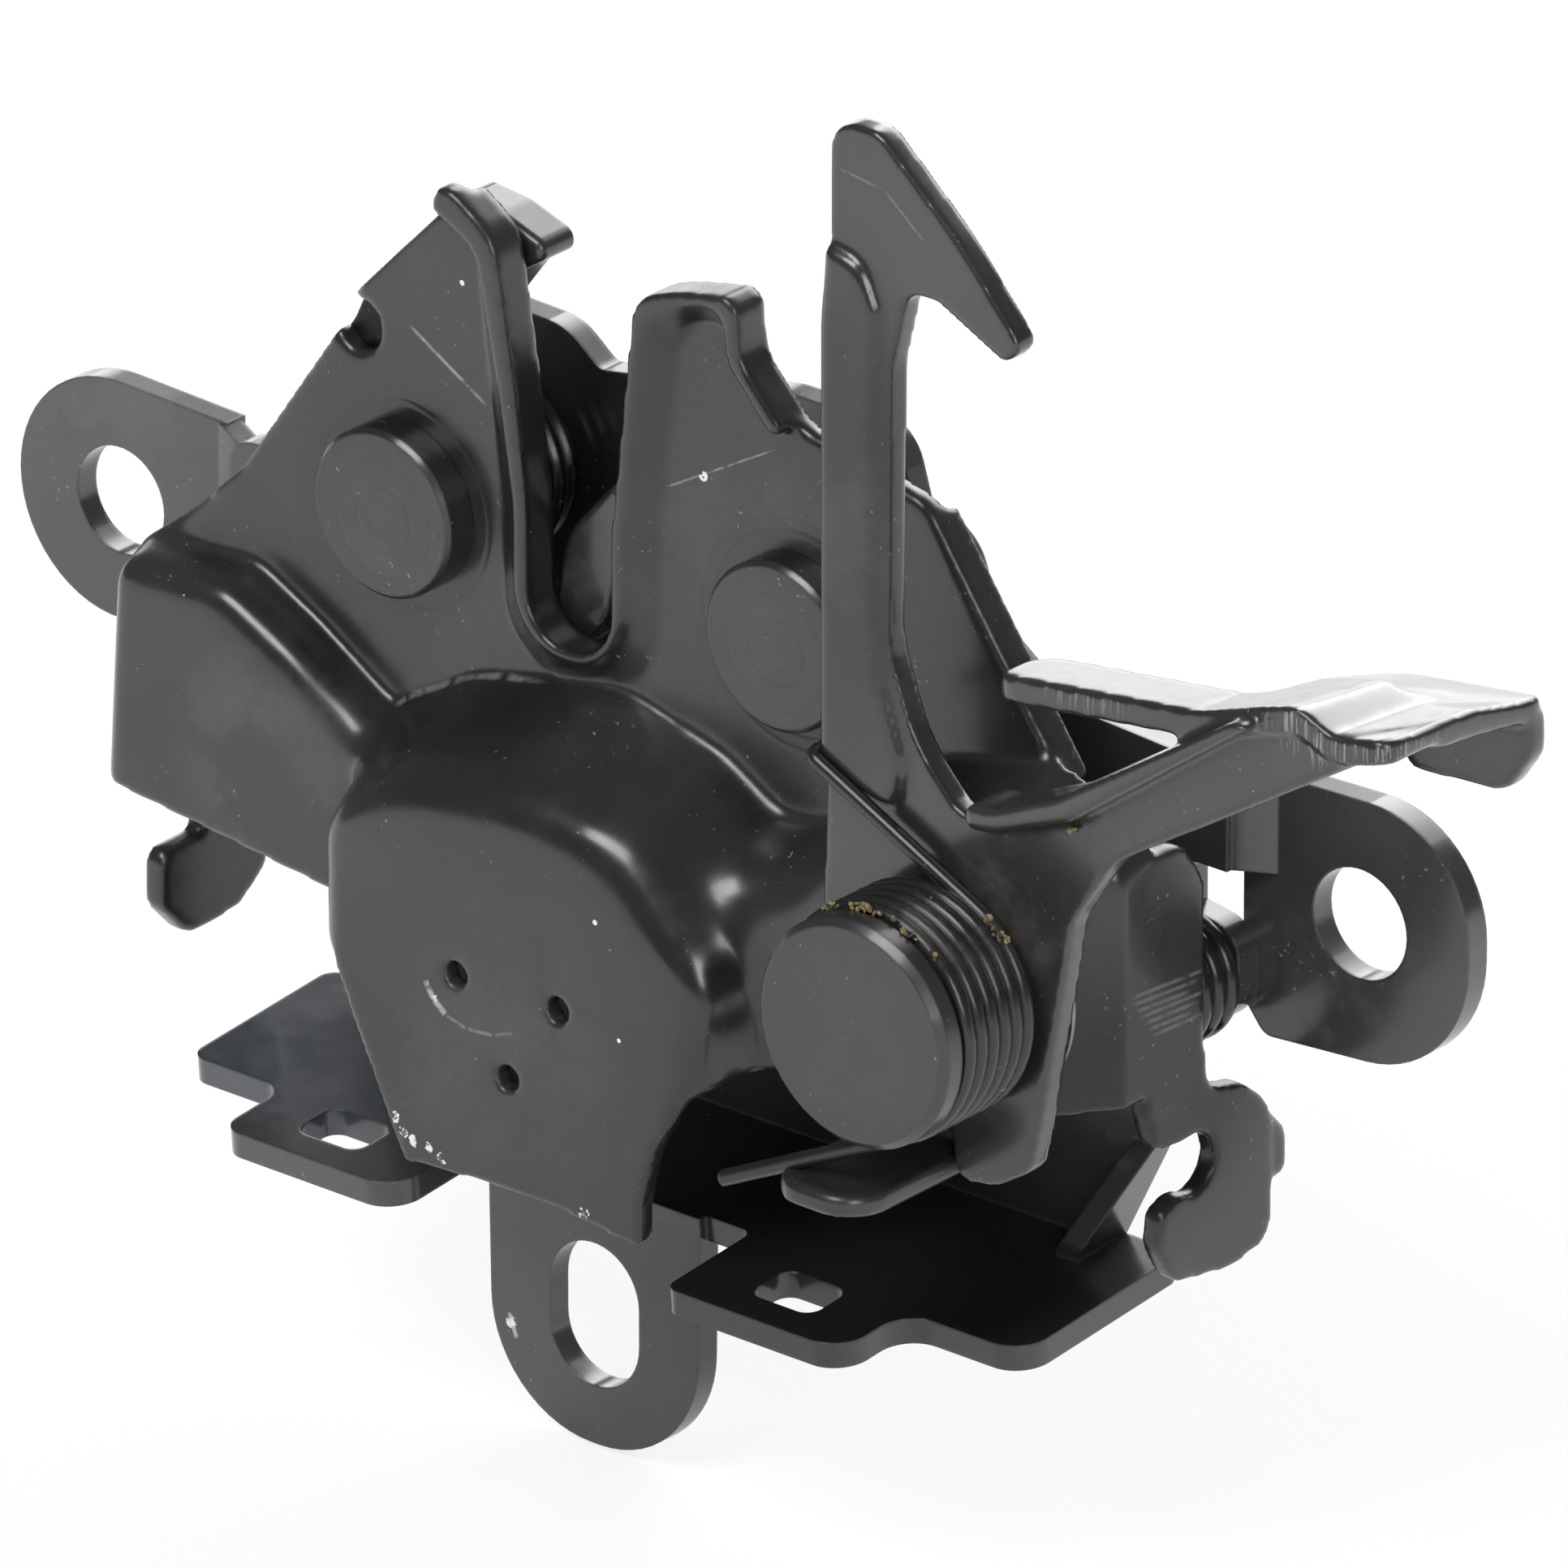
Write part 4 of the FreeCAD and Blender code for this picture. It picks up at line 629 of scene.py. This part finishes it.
def round_pin(angles, radii, levels, sizes):
    """A drawn place round the pin's axis, and a drawn size, each between two limits."""
    angle = math.radians(place_draw.uniform(*angles))
    radius = radii[0] if radii[0] == radii[1] else place_draw.uniform(*radii)
    level = -place_draw.uniform(*levels)
    point = (PIN[0] + radius * math.cos(angle), level, PIN[1] + radius * math.sin(angle))
    return (point, place_draw.uniform(*sizes))


HEAD_LUMPS = 34
LEVER_LUMPS = 16
head_spots = [round_pin((48, 122), (12.3, 12.9), (47.6, 48.3), (0.18, 0.42)) for _ in range(HEAD_LUMPS)]
lever_spots = [((72.9, -36.7, 18.9), 0.5), ((73.5, -36.6, 19.3), 0.3)]
lever_spots += [round_pin((40, 58), (12.9, 12.9), (37.4, 39.6), (0.2, 0.5)) for _ in range(LEVER_LUMPS)]
grease = yellow_grease("yellow_grease")
lumps("spring_grease", head_spots, "housing", grease)
lumps("lever_grease", lever_spots, "lever_body", grease)


# Camera, floor and light

toward = Vector((math.cos(LIFT) * math.sin(TURN), -math.cos(LIFT) * math.cos(TURN), math.sin(LIFT)))
camera_data = bpy.data.cameras.new("camera")
camera_data.sensor_width = SENSOR
camera_data.lens = SENSOR * FOCAL_PIXELS / PICTURE
camera_data.clip_end = 50
camera = bpy.data.objects.new("camera", camera_data)
camera.location = AIM + toward * DISTANCE
camera.rotation_euler = (-toward).to_track_quat("-Z", "Y").to_euler()
bpy.context.scene.collection.objects.link(camera)
bpy.context.scene.camera = camera

CAMERA_WHITE = 0.8
FLOOR_HALF = 4.0
FLOOR_LEVEL = cad_box[0][2] - 0.0005


def floor_material():
    """Matt white floor. Seen by the camera it is near white, with a light shadow."""
    n = Nodes("studio_floor")
    n.finish(Base_Color=n.mix(n.noise(3, 2), *FLOOR_GREYS), Roughness=0.9, Specular_IOR_Level=0.0)
    glow = n.new("ShaderNodeEmission")
    glow.inputs["Strength"].default_value = 1.0
    both = n.new("ShaderNodeMixShader")
    seen = n.new("ShaderNodeLightPath").outputs["Is Camera Ray"]
    n.link(n.math("MULTIPLY", seen, CAMERA_WHITE), both.inputs[0])
    n.link(n.shader.outputs[0], both.inputs[1])
    n.link(glow.outputs[0], both.inputs[2])
    n.link(both.outputs[0], n.tree.nodes["Material Output"].inputs["Surface"])
    return n.material


floor_mesh = bpy.data.meshes.new("floor")
floor_corners = [
    (x * FLOOR_HALF, y * FLOOR_HALF, FLOOR_LEVEL) for x, y in ((-1, -1), (1, -1), (1, 1), (-1, 1))]
floor_mesh.from_pydata(floor_corners, [], [(0, 1, 2, 3)])
floor_mesh.materials.append(floor_material())
floor = bpy.data.objects.new("floor", floor_mesh)
bpy.context.scene.collection.objects.link(floor)

# Each softbox's place and size in metres, and its power in watts. All of them face the part
SOFTBOXES = {
    "top_front": ((-0.1, -1.1, 1.35), (0.9, 0.6), 17),
    "right_front": ((1.5, -1.2, 0.75), (0.5, 0.9), 11),
    "low_back_left": ((-1.57, 1.81, 0.36), (1.6, 0.75), 9),
    "back": ((-0.43, 2.02, 1.24), (2.1, 1.3), 44),
}
for name, (place, size, power) in SOFTBOXES.items():
    data = bpy.data.lights.new(name, "AREA")
    data.shape = "RECTANGLE"
    data.size, data.size_y = size
    data.energy = power
    light = bpy.data.objects.new(name, data)
    light.location = place
    light.rotation_euler = (-Vector(place)).to_track_quat("-Z", "Y").to_euler()
    bpy.context.scene.collection.objects.link(light)

# Surroundings: soft light for the surfaces, dim in their reflections, and white to the camera
world = bpy.data.worlds.new("studio")
world.use_nodes = True
bpy.context.scene.world = world
tree = world.node_tree
skies = [tree.nodes["Background"]] + [tree.nodes.new("ShaderNodeBackground") for _ in range(2)]
for sky, grey, strength in zip(skies, ((0.8, 0.8, 0.81), (1, 1, 1), (1, 1, 1)), (0.66, 0.14, 1.0)):
    sky.inputs["Color"].default_value = grey + (1,)
    sky.inputs["Strength"].default_value = strength
path = tree.nodes.new("ShaderNodeLightPath")
surroundings = skies[0].outputs[0]
for sky, ray in zip(skies[1:], ("Is Glossy Ray", "Is Camera Ray")):
    either = tree.nodes.new("ShaderNodeMixShader")
    tree.links.new(path.outputs[ray], either.inputs[0])
    tree.links.new(surroundings, either.inputs[1])
    tree.links.new(sky.outputs[0], either.inputs[2])
    surroundings = either.outputs[0]
tree.links.new(surroundings, tree.nodes["World Output"].inputs["Surface"])

bpy.context.scene.view_settings.view_transform = "Standard"
